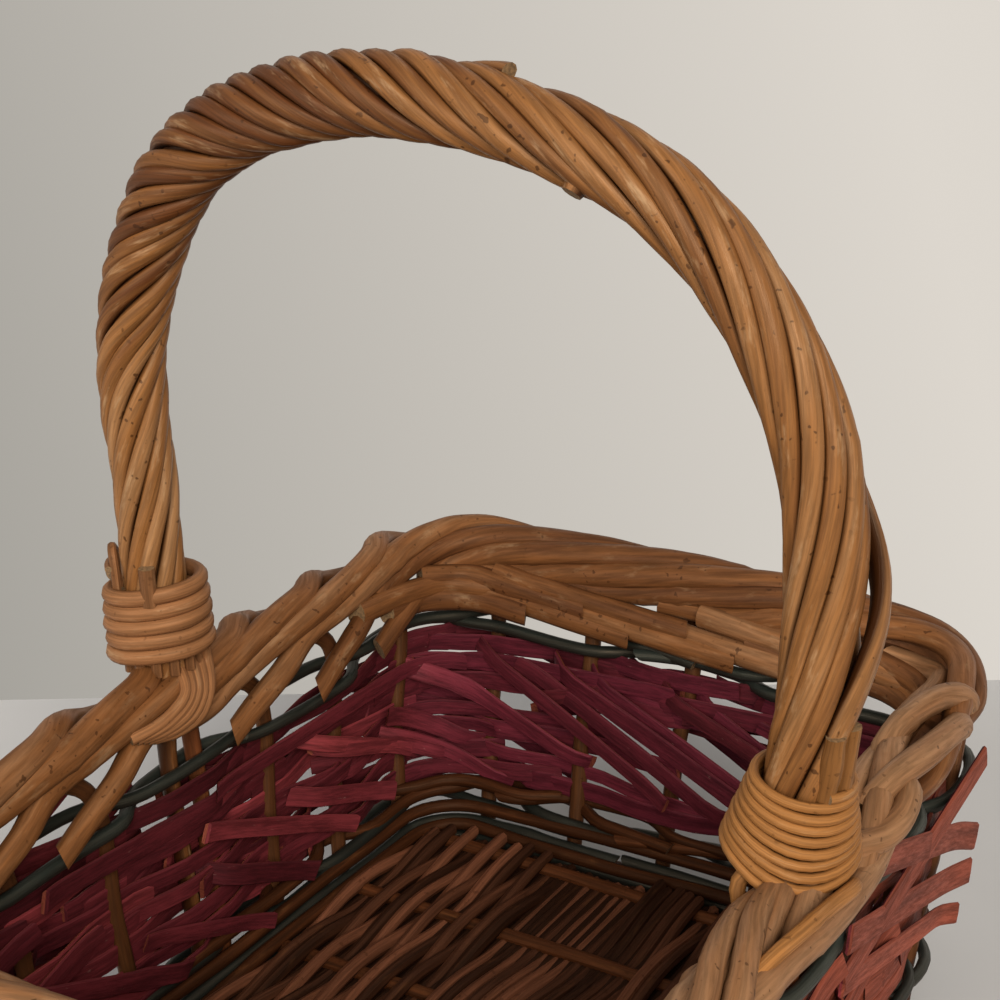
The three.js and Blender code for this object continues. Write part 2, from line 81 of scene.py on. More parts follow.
class BasketSizes(bpy.types.PropertyGroup):
    """Sizes of the basket"""

    rim_width: length("Rim width", "Across the basket at the middle of the border", 0.250)
    rim_length: length("Rim length", "Along the basket at the middle of the border", 0.358)
    rim_corner: length("Rim corner", "Radius of the rim's corners", 0.040)
    rim_height: length("Rim height", "Height of the border's middle above the table", 0.121)
    rim_dip: length("Rim dip", "How far the rim dips at the right end of the handle", 0.006)
    base_width: length("Base width", "Across the basket at the table", 0.227)
    base_length: length("Base length", "Along the basket at the table", 0.295)
    base_corner: length("Base corner", "Radius of the base's corners", 0.034)
    stake_diameter: length("Stake diameter", "Thickness of the uprights in the wall", 0.0068)
    border_rod: length("Border rod", "Width of the stakes where they lie in the border", 0.0114)
    border_radius: length("Border radius", "From the rim line to the rods of the border", 0.0099)
    handle_spread: length("Handle spread", "Extra border radius where the handle passes through", 0.0014)
    corner_pinch: length("Corner pinch", "How far the rods close up at the far right corner", 0.0030)
    corner_tuck: length("Corner tuck", "How far the border is drawn in at its far right corner", 0.0050)
    border_lean: length("Border lean", "How far the border leans out in front of the right binding", 0.0050)
    wale_diameter: length("Wale diameter", "Thickness of the dark rods woven round the wall", 0.0054)
    wale_raise: length("Wale raise", "How far the upper wale is pressed up towards the border", 0.0035)
    strip_width: length("Strip width", "Width of the split strips of the siding", 0.0084)
    strip_thickness: length("Strip thickness", "Thickness of the split strips", 0.0019)
    floor_rod: length("Floor rod", "Thickness of the rods woven along the base", 0.0050)
    leg_rise: length("Leg rise", "Height of the handle's legs above the rim", 0.075)
    shoulder_rise: length("Shoulder rise", "Height of the handle's shoulders above the rim", 0.141)
    haunch_rise: length("Haunch rise", "Height of the handle's haunches above the rim", 0.200)
    crown_rise: length("Crown rise", "Height of the handle's crown above the rim", 0.224)
    crown_lean: length("Crown lean", "How far the crown lies to the left of the middle", 0.0235)
    left_haunch: length("Left haunch", "How far the left haunch lies in from the rim", 0.031)
    right_haunch: length("Right haunch", "How far the right haunch lies in from the rim", 0.049)
    right_shoulder: length("Right shoulder", "How far the right shoulder lies in from the rim", 0.006)
    leg_bow: length("Leg bow", "How far the legs bow out beyond the rim", 0.002)
    right_lean: length("Right lean", "How far the right leg leans in at the rim", 0.009)
    left_rod: length("Left laid rod", "Thickness of the laid rods at the left", 0.0051)
    right_rod: length("Right laid rod", "Thickness of the laid rods at the right", 0.0060)
    slow_lay: length("Slow lay", "Length of a turn of the laid rods at the legs", 0.260)
    tight_lay: length("Tight lay", "Length of a turn of the laid rods at the left shoulder", 0.084)
    left_winding: length("Left winding", "Thickness of the rod wound round the left leg", 0.0059)
    right_winding: length("Right winding", "Thickness of the rod wound round the right leg", 0.0034)
    lashing: length("Lashing", "Thickness of the strands that hold the left leg", 0.0044)


class BasketColours(bpy.types.PropertyGroup):
    """Colours of the basket's willow"""

    handle_dark: colour("Handle dark", "Reddish rods of the handle", (0.098, 0.030, 0.008))
    handle_amber: colour("Handle amber", "Amber rods of the handle", (0.240, 0.096, 0.027))
    handle_pale: colour("Handle pale", "Pale rods of the handle", (0.330, 0.163, 0.066))
    # Worn bark and a painted highlight: this pale colour goes only on the outer side of each rod.
    worn_and_highlight: colour("Worn", "Worn places on the bark", (0.50, 0.31, 0.16))
    # Dark knots, dirt in the grooves, and the painted shade where rods meet: the grooves are darkened towards
    # this colour.
    knots_dirt_and_groove_shade: colour("Crevice", "Dirt in the grooves between rods", (0.026, 0.006, 0.001))
    left_tan: colour("Left binding", "Tan rod wound round the left leg", (0.262, 0.111, 0.043))
    right_gold: colour("Right binding", "Golden rod wound round the right leg", (0.325, 0.134, 0.037))
    border_brown: colour("Border brown", "Brown rods of the border", (0.102, 0.036, 0.013))
    border_amber: colour("Border amber", "Amber rods of the border", (0.210, 0.079, 0.0245))
    border_grey: colour("Border grey", "Weathered rods of the border", (0.32, 0.163, 0.076))
    upright_brown: colour("Upright brown", "Uprights and sticks", (0.135, 0.040, 0.013))
    wale_green: colour("Wale green", "Dark green bark of the wales", (0.017, 0.021, 0.017))
    strip_wine: colour("Strip wine", "Inner face of the stained strips", (0.118, 0.016, 0.020))
    strip_red: colour("Strip red", "Brighter stained strips", (0.27, 0.040, 0.042))
    # Darker, more plum colour for the strips on the far wall.
    strip_plum: colour("Strip plum", "Stain of the strips on the far wall", (0.092, 0.0105, 0.028))
    strip_brick: colour("Strip brick", "Outer face of the stained strips", (0.27, 0.062, 0.034))
    strip_pale: colour("Strip pale", "Bare fibres at the strips' edges", (0.42, 0.23, 0.19))
    floor_brown: colour("Floor brown", "Rods of the base", (0.074, 0.026, 0.0125))
    cut: colour("Cut end", "Old cut face of a rod", (0.27, 0.15, 0.06))


class StageSettings(bpy.types.PropertyGroup):
    """Camera, table and light"""

    place: FloatVectorProperty(
        name="Camera place",
        description="Where the camera stands",
        default=(0.3230, -0.4946, 0.4404),
        subtype="TRANSLATION",
        unit="LENGTH",
    )
    yaw: turn_of("Yaw", "Turn to the left", 31.67)
    pitch: turn_of("Pitch", "Tilt down", 20.52)
    roll: turn_of("Roll", "Roll of the camera", -1.15)
    lens: FloatProperty(
        name="Lens", description="Focal length in millimetres", default=72.29, subtype="DISTANCE_CAMERA"
    )
    table_reach: length("Table reach", "From under the camera to the table's far edge", 0.906)
    # Painted light: the backdrop runs from darker on the left to brighter on the right, as if lit from the
    # right.
    wall_shaded_left: colour("Wall left", "Backdrop on the left", (0.375, 0.358, 0.325))
    wall_lit_right: colour("Wall right", "Backdrop on the right", (0.72, 0.675, 0.615))
    table: colour("Table", "Table top", (0.62, 0.60, 0.58))


def mix(a, b, share):
    return a + (b - a) * share


def fade(distance, reach):
    return math.exp(-((distance / reach) ** 2))


def ripple(along, row, layer):
    return noise.noise(Vector((along, row, layer)))


def smooth_line(points, step):
    """Points about a step apart on a smooth curve through the given ones, and where each lies among them."""
    padded = [points[0] * 2 - points[1], *points, points[-1] * 2 - points[-2]]
    line = []
    marks = []
    for i in range(len(points) - 1):
        before, start, end, after = padded[i : i + 4]
        d0, d1, d2 = (max(1e-4, math.sqrt((b - a).length)) for a, b in zip(padded[i:], padded[i + 1 : i + 4]))
        leave = ((start - before) / d0 - (end - before) / (d0 + d1) + (end - start) / d1) * d1
        arrive = ((end - start) / d1 - (after - start) / (d1 + d2) + (after - end) / d2) * d1
        count = max(1, round((end - start).length / step))
        for k in range(count):
            t = k / count
            bend = (2 * t**3 - 3 * t**2 + 1) * start + (t**3 - 2 * t**2 + t) * leave
            line.append(bend + (3 * t**2 - 2 * t**3) * end + (t**3 - t**2) * arrive)
            marks.append(i + t)
    line.append(points[-1].copy())
    marks.append(len(points) - 1.0)
    return line, marks


def between(values, marks):
    """The values at places among listed ones."""
    found = []
    for mark in marks:
        i = min(int(mark), len(values) - 2)
        found.append(mix(values[i], values[i + 1], mark - i))
    return found


def tangents(line):
    ahead = [*line[1:], line[-1]]
    behind = [line[0], *line[:-1]]
    return [(b - a).normalized() for a, b in zip(behind, ahead)]


def travelled(line):
    walked = [0.0]
    for a, b in zip(line, line[1:]):
        walked.append(walked[-1] + (b - a).length)
    return walked


def grown(half, line, seed, swing=0.05):
    """Half widths with the slow swelling and the knots of a grown rod."""
    SWELL_WAVE = 0.030
    KNOT_WAVE = 0.011
    KNOT_LEAST = 0.45
    KNOT_SIZE = 0.5
    result = []
    halves = [half] * len(line) if isinstance(half, float) else half
    for width, walked in zip(halves, travelled(line)):
        swell = ripple(walked / SWELL_WAVE, seed * 7.3, 0.5)
        knot = max(0.0, ripple(walked / KNOT_WAVE, seed * 3.1, 9.5) - KNOT_LEAST)
        result.append(width * (1 + swing * swell + KNOT_SIZE * knot))
    return result


def wandering(line, seed, amount, wave=0.045):
    """The line with the slight bends of a grown rod."""
    LAYERS = (2.5, 12.7, 22.9)
    moved = []
    for point, walked in zip(line, travelled(line)):
        bend = [ripple(walked / wave, seed * 5.7, layer) for layer in LAYERS]
        moved.append(point + Vector(bend) * amount)
    return moved


def carried(line):
    """Sideways directions that turn as little as they can along a line."""
    along = tangents(line)
    side = along[0].orthogonal().normalized()
    sides = []
    for direction in along:
        side = (side - direction * side.dot(direction)).normalized()
        sides.append(side)
    return sides


class Ring:
    """A rectangle with round corners, counted in places from the middle of its +X side."""

    def __init__(self, width, length, corner):
        self.halves = (width / 2, length / 2)
        self.corner = corner
        self.runs = (length - 2 * corner, width - 2 * corner)
        self.bend = corner * math.pi / 2
        self.total = 2 * sum(self.runs) + 4 * self.bend

    def at(self, place):
        """The ring's point at a place, and the direction straight out of the basket there."""
        walked = (place / UPRIGHTS * self.total + self.runs[0] / 2) % self.total
        side = 0
        while walked > self.runs[side % 2] + self.bend:
            walked -= self.runs[side % 2] + self.bend
            side += 1
        run = self.runs[side % 2]
        turn = max(0.0, walked - run) / self.corner
        across = self.halves[side % 2] - self.corner + self.corner * math.cos(turn)
        along = min(walked, run) - run / 2 + self.corner * math.sin(turn)
        facing = Matrix.Rotation(side * math.pi / 2, 3, "Z")
        return facing @ Vector((across, along, 0)), facing @ Vector((math.cos(turn), math.sin(turn), 0))


class Basket:
    """The lines of the basket's wall, border and handle, worked out from its sizes."""

    def __init__(self, sizes):
        ARCH_STEP = 0.001
        self.sizes = sizes
        self.rim = Ring(sizes.rim_width, sizes.rim_length, sizes.rim_corner)
        self.base = Ring(sizes.base_width, sizes.base_length, sizes.base_corner)
        self.rim_height = sizes.rim_height
        self.spacing = self.rim.total / UPRIGHTS
        self.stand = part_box("foot_ring")[1].z
        self.arch, _ = smooth_line(self.arch_points(), ARCH_STEP)
        self.walked = travelled(self.arch)
        self.arch_length = self.walked[-1]

    def arch_points(self):
        s = self.sizes
        half = s.rim_width / 2
        rises = (
            (-half, 0.0),
            (-half - s.leg_bow, s.leg_rise),
            (-half - s.leg_bow / 2, s.shoulder_rise),
            (-half + s.left_haunch, s.haunch_rise),
            (-s.crown_lean, s.crown_rise),
            (half - s.right_haunch, s.haunch_rise),
            (half - s.right_shoulder, s.shoulder_rise),
            (half + s.leg_bow - s.right_lean / 6, s.leg_rise),
            (half - s.right_lean, -s.rim_dip),
        )
        return [Vector((x, 0, s.rim_height + rise)) for x, rise in rises]

    def wall_out(self, place, height):
        rise = height / self.rim_height
        return self.base.at(place)[1].lerp(self.rim.at(place)[1], rise).normalized()

    def wall(self, place, height, stand_off=0.0):
        """A point of the wall at a place and height, stood off from its middle."""
        rise = height / self.rim_height
        point = self.base.at(place)[0].lerp(self.rim.at(place)[0], rise)
        point += self.wall_out(place, height) * stand_off
        point.z = height
        return point

    def from_place(self, place, other):
        """How far along the rim a place lies past another."""
        half = UPRIGHTS / 2
        return ((place - other + half) % UPRIGHTS - half) * self.spacing

    def near_handle(self, place, reach):
        return max(fade(self.from_place(place, end), reach) for end in (RIGHT_HANDLE, LEFT_HANDLE))

    def near_pinch(self, place):
        """How near a place is to the corner where the border is drawn in."""
        PINCHED = 3.3
        PINCH_REACH = 0.055
        return fade(self.from_place(place, PINCHED), PINCH_REACH)

    def rim_height_at(self, place):
        DIP_REACH = 0.045
        return self.rim_height - self.sizes.rim_dip * fade(self.from_place(place, RIGHT_HANDLE), DIP_REACH)

    def rim_middle(self, place):
        """The middle of the border: drawn in at one corner, leaning out and down before the right binding."""
        LEANING = -2.3
        LEAN_REACH = 0.055
        lean = self.sizes.border_lean * fade(self.from_place(place, LEANING), LEAN_REACH)
        point, out = self.rim.at(place)
        aside = lean - self.sizes.corner_tuck * self.near_pinch(place)
        return point + out * aside + UP * (self.rim_height_at(place) - lean)

    def rim_direction(self, place, angle):
        return self.rim.at(place)[1] * math.cos(angle) + UP * math.sin(angle)

    def border(self, place, angle, lift=0.0):
        """A point on the border's helix: angle 0 faces out of the basket, a quarter turn faces up."""
        SPREAD_REACH = 0.030
        radius = self.sizes.border_radius + self.sizes.handle_spread * self.near_handle(place, SPREAD_REACH)
        radius -= self.sizes.corner_pinch * self.near_pinch(place)
        return self.rim_middle(place) + self.rim_direction(place, angle) * (radius + lift)

    def along_border(self, steps):
        """Points on the border and their facings, from places, angles and lifts."""
        points = [self.border(place, angle, lift) for place, angle, lift in steps]
        return points, [self.rim_direction(place, angle) for place, angle, _ in steps]

    def weave_side(self, place, phase):
        """1 where a woven rod lies fully outside the uprights, -1 where it passes inside two of them."""
        STEEPNESS = 2.6
        OUTER_SHARE = 0.25
        swing = math.cos(FULL_TURN * (place + phase) / 3) - OUTER_SHARE
        return max(-1.0, math.tanh(STEEPNESS * swing) / math.tanh(STEEPNESS * (1 - OUTER_SHARE)))

    def standing(self, handle):
        """Places of the liner and the foot that stand at an end of the handle."""
        LINER_SHIFT = 0.009
        FOOT_SHIFT = 0.005
        return handle - LINER_SHIFT / self.spacing, handle + FOOT_SHIFT / self.spacing

    def arch_at(self, share):
        """The arch's point and direction at a share of its length."""
        along = share * self.arch_length
        low, high = 0, len(self.walked) - 1
        while high - low > 1:
            middle = (low + high) // 2
            low, high = (middle, high) if self.walked[middle] <= along else (low, middle)
        part = (along - self.walked[low]) / (self.walked[high] - self.walked[low])
        point = self.arch[low].lerp(self.arch[high], part)
        return point, (self.arch[high] - self.arch[low]).normalized()

    def beside_arch(self, share, angle):
        """Direction off the arch: angle 0 faces the front, a quarter turn the inside of the arch."""
        inside = self.arch_at(share)[1].cross(FRONT)
        return FRONT * math.cos(angle) + inside * math.sin(angle)

    def off_arch(self, share, angle, radius):
        return self.arch_at(share)[0] + self.beside_arch(share, angle) * radius

    def round_arch(self, steps):
        """Points round the handle and their facings, from shares, angles and radii."""
        return [self.off_arch(*step) for step in steps], [self.beside_arch(*step[:2]) for step in steps]

    def lay_rate(self, share):
        TIGHT_AT = 0.36
        TIGHT_SPREAD = 0.20
        tight = fade(share - TIGHT_AT, TIGHT_SPREAD)
        return mix(1 / self.sizes.slow_lay, 1 / self.sizes.tight_lay, tight)

    def laid_width(self, share):
        return mix(self.sizes.left_rod, self.sizes.right_rod, share)

    def lay_radius(self, share):
        """Distance of the laid rods' centres from the middle of the handle."""
        FIT = 0.00035
        SLOPE_SHARE = 1.3
        straight = (self.laid_width(share) + FIT) / (2 * math.sin(math.pi / LAID_RODS))
        return straight * math.hypot(1, FULL_TURN * straight * self.lay_rate(share) * SLOPE_SHARE)

    def above_rim(self, rise):
        """Share of the arch's length that a rise above the rim takes up."""
        return rise / self.arch_length


class Strands:
    """A mesh in the making that holds rods and strips side by side."""

    def __init__(self):
        self.bm = bmesh.new()
        self.uv = self.bm.loops.layers.uv.new("strand")
        self.tone = self.bm.verts.layers.float.new("tone")
        self.proud = self.bm.verts.layers.float.new("proud")

    def rod(
        self, line, half, tone, facing=None, flat=1.0, across=None, sides=10, power=1.0, slants=(0, 0),
        painted_shading=None,
    ):
        """Rolls a grid into a rod along a line, flattened towards its facing, its ends cut at a slant."""
        PATTERN_SHIFT = 10
        SLANT_REACH = 2.5
        SEAM = 0.499
        rings = len(line) - 1
        halves = [half] * len(line) if isinstance(half, float) else half
        half_out = [width * flat for width in halves]
        half_across = across or halves
        facings = [facing] * len(line) if isinstance(facing, Vector) else facing or carried(line)
        grid = bmesh.ops.create_grid(self.bm, x_segments=rings, y_segments=sides, size=0.5)["verts"]
        walked = travelled(line)
        along = tangents(line)
        outs = [(f - t * f.dot(t)).normalized() for f, t in zip(facings, along)]
        acrosses = [t.cross(o) for t, o in zip(along, outs)]
        for face in {face for vert in grid for face in vert.link_faces}:
            for loop in face.loops:
                x, y, _ = loop.vert.co
                loop[self.uv].uv = ((x + 0.5) * walked[-1] + tone * PATTERN_SHIFT, y + 0.5)
        seam = [vert for vert in grid if abs(vert.co.y) > SEAM]
        for vert in grid:
            i = round((vert.co.x + 0.5) * rings)
            turn = (vert.co.y + 0.5) * FULL_TURN
            c = math.cos(turn)
            s = math.sin(turn)
            out = math.copysign(abs(c) ** power, c) * half_out[i]
            aside = math.copysign(abs(s) ** power, s) * half_across[i]
            start = slants[0] * max(0.0, 1 - walked[i] / (SLANT_REACH * half_out[0]))
            end = slants[1] * max(0.0, 1 - (walked[-1] - walked[i]) / (SLANT_REACH * half_out[-1]))
            vert.co = line[i] + outs[i] * out + acrosses[i] * aside + along[i] * (end - start) * out
            # Tone shifts per ring paint light and shade along the rod.
            vert[self.tone] = tone + (painted_shading[i] if painted_shading else 0.0)
            # proud runs from 0 on the side turned in to 1 on the side that faces out; the willow finishes
            # paint groove shade and highlight from it.
            vert[self.proud] = 0.5 + 0.5 * c
        bmesh.ops.remove_doubles(self.bm, verts=seam, dist=1e-6)
        edges = {edge for vert in grid if vert.is_valid for edge in vert.link_edges if edge.is_boundary}
        for face in bmesh.ops.holes_fill(self.bm, edges=list(edges), sides=0)["faces"]:
            face.material_index = 1

    def bent_rod(self, points, facings, half, tone, step, seed, wander=None, painted_shading=None, **shape):
        """A grown rod on a smooth curve through points, each with its facing."""
        SWING = 0.06
        line, marks = smooth_line(points, step)
        if wander:
            line = wandering(line, *wander)
        halves = [half] * len(points) if isinstance(half, float) else half
        widths = grown(between(halves, marks), line, seed, SWING)
        if painted_shading:
            painted_shading = between(painted_shading, marks)
        self.rod(line, widths, tone, between(facings, marks), painted_shading=painted_shading, **shape)

    def finish(self, name, bark, slot, *nodes, end="cut end"):
        """Makes the mesh a piece of the basket that stands for CAD nodes."""
        SHARP = math.radians(42)
        if not self.bm.faces:
            raise RuntimeError(f"{name} has no faces")
        bmesh.ops.recalc_face_normals(self.bm, faces=self.bm.faces)
        mesh = bpy.data.meshes.new(name)
        self.bm.to_mesh(mesh)
        self.bm.free()
        looks = finishes(bpy.context.scene)
        mesh.materials.append(looks[bark])
        mesh.materials.append(looks[end])
        mesh.shade_smooth()
        mesh.set_sharp_from_angle(angle=SHARP)
        piece = bpy.data.objects.new(name, mesh)
        bpy.context.scene.collection.objects.link(piece)
        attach(piece, "root")
        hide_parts(*nodes)


class NodeSteps:
    """A node tree built up in small steps."""

    def __init__(self, tree):
        self.nodes = tree.nodes
        self.links = tree.links

    def feed(self, socket, value):
        if isinstance(value, bpy.types.NodeSocket):
            self.links.new(value, socket)
        elif socket.type == "RGBA":
            socket.default_value = (*value[:3], 1)
        else:
            socket.default_value = value

    def step(self, kind, inputs, output=0, **settings):
        node = self.nodes.new(kind)
        for key, value in settings.items():
            setattr(node, key, value)
        for key, value in inputs.items():
            self.feed(node.inputs[key], value)
        return node.outputs[output]

    def maths(self, operation, a, b=0.0):
        return self.step("ShaderNodeMath", {0: a, 1: b}, operation=operation)

    def ramp(self, share, stops):
        node = self.nodes.new("ShaderNodeValToRGB")
        self.feed(node.inputs[0], share)
        elements = node.color_ramp.elements
        while len(elements) < len(stops):
            elements.new(1.0)
        for element, (position, tint) in zip(elements, stops):
            element.position = position
            element.color = (*tint[:3], 1)
        return node.outputs[0]


class Finish(NodeSteps):
    """A procedural material."""

    def __init__(self, name):
        self.material = bpy.data.materials.new(name)
        self.material.use_nodes = True
        super().__init__(self.material.node_tree)
        self.shader = self.nodes["Principled BSDF"]

    def surface(self, **inputs):
        """Feeds the shader's sockets, named with _ for a space."""
        for name, value in inputs.items():
            self.feed(self.shader.inputs[name.replace("_", " ")], value)

    def mix(self, share, a, b, blend_type="MIX"):
        inputs = {0: share, 6: a, 7: b}
        return self.step("ShaderNodeMix", inputs, output=2, data_type="RGBA", blend_type=blend_type)

    def shaded(self, tint, shade):
        grey = self.step("ShaderNodeCombineXYZ", {0: shade, 1: shade, 2: shade})
        return self.mix(1.0, tint, grey, "MULTIPLY")

    def window(self, value, low, high, to_low=0.0, to_high=1.0):
        inputs = {"Value": value, "From Min": low, "From Max": high, "To Min": to_low, "To Max": to_high}
        return self.step("ShaderNodeMapRange", inputs, interpolation_type="SMOOTHSTEP")

    def attribute(self, name):
        return self.step("ShaderNodeAttribute", {}, output=2, attribute_name=name)

    def noise(self, space, scale, detail=3.0, roughness=0.55):
        inputs = {"Vector": space, "Scale": scale, "Detail": detail, "Roughness": roughness}
        return self.step("ShaderNodeTexNoise", inputs)

    def object_space(self):
        return self.step("ShaderNodeTexCoord", {}, output=3)

    def strand_space(self, stretch):
        """Coordinates that close round a strand and run along it."""
        uv = self.step("ShaderNodeUVMap", {}, uv_map="strand")
        around = self.maths("MULTIPLY", self.step("ShaderNodeSeparateXYZ", {0: uv}, output=1), FULL_TURN)
        along = self.maths("MULTIPLY", self.step("ShaderNodeSeparateXYZ", {0: uv}, output=0), stretch)
        inputs = {"X": self.maths("COSINE", around), "Y": self.maths("SINE", around), "Z": along}
        return self.step("ShaderNodeCombineXYZ", inputs)

    def bump(self, height, strength, distance):
        inputs = {"Height": height, "Strength": strength, "Distance": distance}
        self.feed(self.shader.inputs["Normal"], self.step("ShaderNodeBump", inputs))


def times(tint, share):
    return [value * share for value in tint]


def shades(tint, dark, pale):
    return times(tint, dark), tint, times(tint, pale)


def willow(name, tones, worn_and_highlight, knots_dirt_and_groove_shade, wear_and_highlight=0.5, groove_dirt_and_shade=0.5, speck=0.5, rough=0.5, shine=0.22):
    """Willow bark: a tone for each rod, streaks along it, worn places that also carry a painted highlight,
    specks, and grooves darkened by dirt and painted shade.
    """
    WARM_GLOSS = (1.0, 0.74, 0.5)
    TONE_DRIFT = 0.9
    PATCH_RELIEF = 0.6
    finish = Finish(name)
    streak = finish.noise(finish.strand_space(stretch=16.0), scale=3.4, detail=5.0, roughness=0.6)
    drift = finish.noise(finish.strand_space(stretch=22.0), scale=0.9, detail=2.0)
    patch = finish.noise(finish.strand_space(stretch=70.0), scale=0.8, detail=4.0, roughness=0.65)
    proud = finish.attribute("proud")
    shift = finish.maths("MULTIPLY", finish.maths("SUBTRACT", drift, 0.5), TONE_DRIFT)
    tone = finish.maths("ADD", finish.attribute("tone"), shift)
    bark = finish.ramp(tone, [(i / (len(tones) - 1), tint) for i, tint in enumerate(tones)])
    bark = finish.shaded(bark, finish.window(streak, 0.3, 0.7, to_low=0.66, to_high=1.14))
    # Pale patches on the outer side of each rod: partly worn bark, partly a painted highlight.
    pale_patches = finish.window(patch, 0.55, 0.75, to_high=wear_and_highlight)
    bark = finish.mix(finish.maths("MULTIPLY", pale_patches, finish.window(proud, 0.5, 1.0)), bark, worn_and_highlight)
    dots = finish.noise(finish.object_space(), scale=360.0, detail=1.0)
    dots = finish.window(dots, 0.67, 0.72, to_high=speck)
    sparse = finish.noise(finish.object_space(), scale=50.0, detail=1.0)
    sparse = finish.window(sparse, 0.42, 0.56)
    bark = finish.mix(finish.maths("MULTIPLY", dots, sparse), bark, knots_dirt_and_groove_shade)
    # The side of each rod turned in towards its neighbours is darkened: dirt in the grooves and painted shade
    # where the rods meet.
    bark = finish.mix(finish.window(proud, 0.76, 0.38, to_high=groove_dirt_and_shade), bark, knots_dirt_and_groove_shade)
    gloss = finish.window(streak, 0.3, 0.7, to_low=rough + 0.1, to_high=rough - 0.08)
    finish.surface(Base_Color=bark, Roughness=gloss, Specular_IOR_Level=shine, Specular_Tint=WARM_GLOSS)
    relief = finish.maths("ADD", streak, finish.maths("MULTIPLY", patch, PATCH_RELIEF))
    finish.bump(relief, strength=0.35, distance=0.0006)


def stained_strip(colours):
    """Split willow stained dark red: wine inside, brick outside, with bare fibres along it."""
    FAR_WALL = (0.10, 0.17)
    finish = Finish("stained strip")
    fibre = finish.noise(finish.strand_space(stretch=25.0), scale=4.5, detail=5.0, roughness=0.65)
    drift = finish.noise(finish.strand_space(stretch=18.0), scale=0.9)
    outside = finish.window(finish.attribute("proud"), 0.45, 0.55)
    tone = finish.attribute("tone")
    stops = [(0.0, times(colours.strip_wine, 0.45)), (0.5, colours.strip_wine), (1.0, colours.strip_red)]
    wine = finish.ramp(tone, stops)
    along = finish.step("ShaderNodeSeparateXYZ", {0: finish.object_space()}, output=1)
    plum = finish.mix(tone, colours.strip_wine, colours.strip_plum)
    # Strips on the far wall, past FAR_WALL in Y, are turned darker and more plum.
    wine = finish.mix(finish.window(along, *FAR_WALL, to_high=0.7), wine, plum)
    brick = finish.mix(tone, times(colours.strip_brick, 0.62), colours.strip_brick)
    stain = finish.mix(outside, wine, brick)
    shade = finish.window(finish.maths("ADD", fibre, drift), 0.7, 1.3, to_low=0.5, to_high=1.25)
    stain = finish.shaded(stain, shade)
    pale_patches = finish.noise(finish.strand_space(stretch=60.0), scale=2.2, detail=4.0, roughness=0.7)
    stain = finish.mix(finish.window(pale_patches, 0.66, 0.78, to_high=0.55), stain, colours.strip_pale)
    gloss = finish.window(fibre, 0.3, 0.7, to_low=0.68, to_high=0.5)
    finish.surface(Base_Color=stain, Roughness=gloss, Specular_IOR_Level=0.12)
    finish.bump(fibre, strength=0.5, distance=0.0006)


def cut_end(colours):
    """The cut face of a rod: old wood with dark specks."""
    finish = Finish("cut end")
    rings = finish.noise(finish.object_space(), scale=900.0)
    wood = finish.ramp(rings, [(0.3, times(colours.cut, 0.35)), (0.7, colours.cut)])
    finish.surface(Base_Color=wood, Roughness=0.75)
    finish.bump(rings, strength=0.4, distance=0.0004)


def finishes(scene):
    """The basket's materials by name, made once."""
    made = bpy.data.materials
    if "cut end" in made:
        return made
    c = scene.basket_colours
    handle = (c.handle_dark, c.handle_amber, c.handle_pale)
    border = (c.border_brown, c.border_amber, c.border_grey)
    tan = shades(c.left_tan, 0.72, 1.2)
    gold = shades(c.right_gold, 0.72, 1.15)
    brown = shades(c.upright_brown, 0.3, 1.5)
    green = shades(c.wale_green, 0.6, 2.0)
    floor = shades(c.floor_brown, 0.3, 2.4)
    cut_end(c)
    stained_strip(c)
    willow("handle willow", handle, c.worn_and_highlight, c.knots_dirt_and_groove_shade, groove_dirt_and_shade=0.95, speck=0.7, rough=0.44, shine=0.36)
    willow("left binding", tan, c.worn_and_highlight, c.knots_dirt_and_groove_shade, wear_and_highlight=0.35, groove_dirt_and_shade=0.35, speck=0.3)
    willow("right binding", gold, c.worn_and_highlight, c.knots_dirt_and_groove_shade, wear_and_highlight=0.3, groove_dirt_and_shade=0.35, speck=0.4)
    willow("border willow", border, c.worn_and_highlight, c.knots_dirt_and_groove_shade, wear_and_highlight=0.3, groove_dirt_and_shade=0.4, speck=0.65)
    matt = {"rough": 0.58, "shine": 0.15}
    willow("brown willow", brown, c.border_amber, c.knots_dirt_and_groove_shade, wear_and_highlight=0.3, groove_dirt_and_shade=0.3, speck=0.4, **matt)
    satin = {"rough": 0.45, "shine": 0.35}
    # Lighter green on the outer side of the wale rods: rubbed bark and a painted highlight.
    rubbed_and_highlight = times(c.wale_green, 2.6)
    willow("green willow", green, rubbed_and_highlight, c.knots_dirt_and_groove_shade, wear_and_highlight=0.4, groove_dirt_and_shade=0.2, speck=0.2, **satin)
    dull = {"rough": 0.6, "shine": 0.12}
    willow("floor willow", floor, c.border_amber, c.knots_dirt_and_groove_shade, wear_and_highlight=0.2, groove_dirt_and_shade=0.5, speck=0.4, **dull)
    return made


def basket_of(context):
    return Basket(context.scene.basket_sizes)


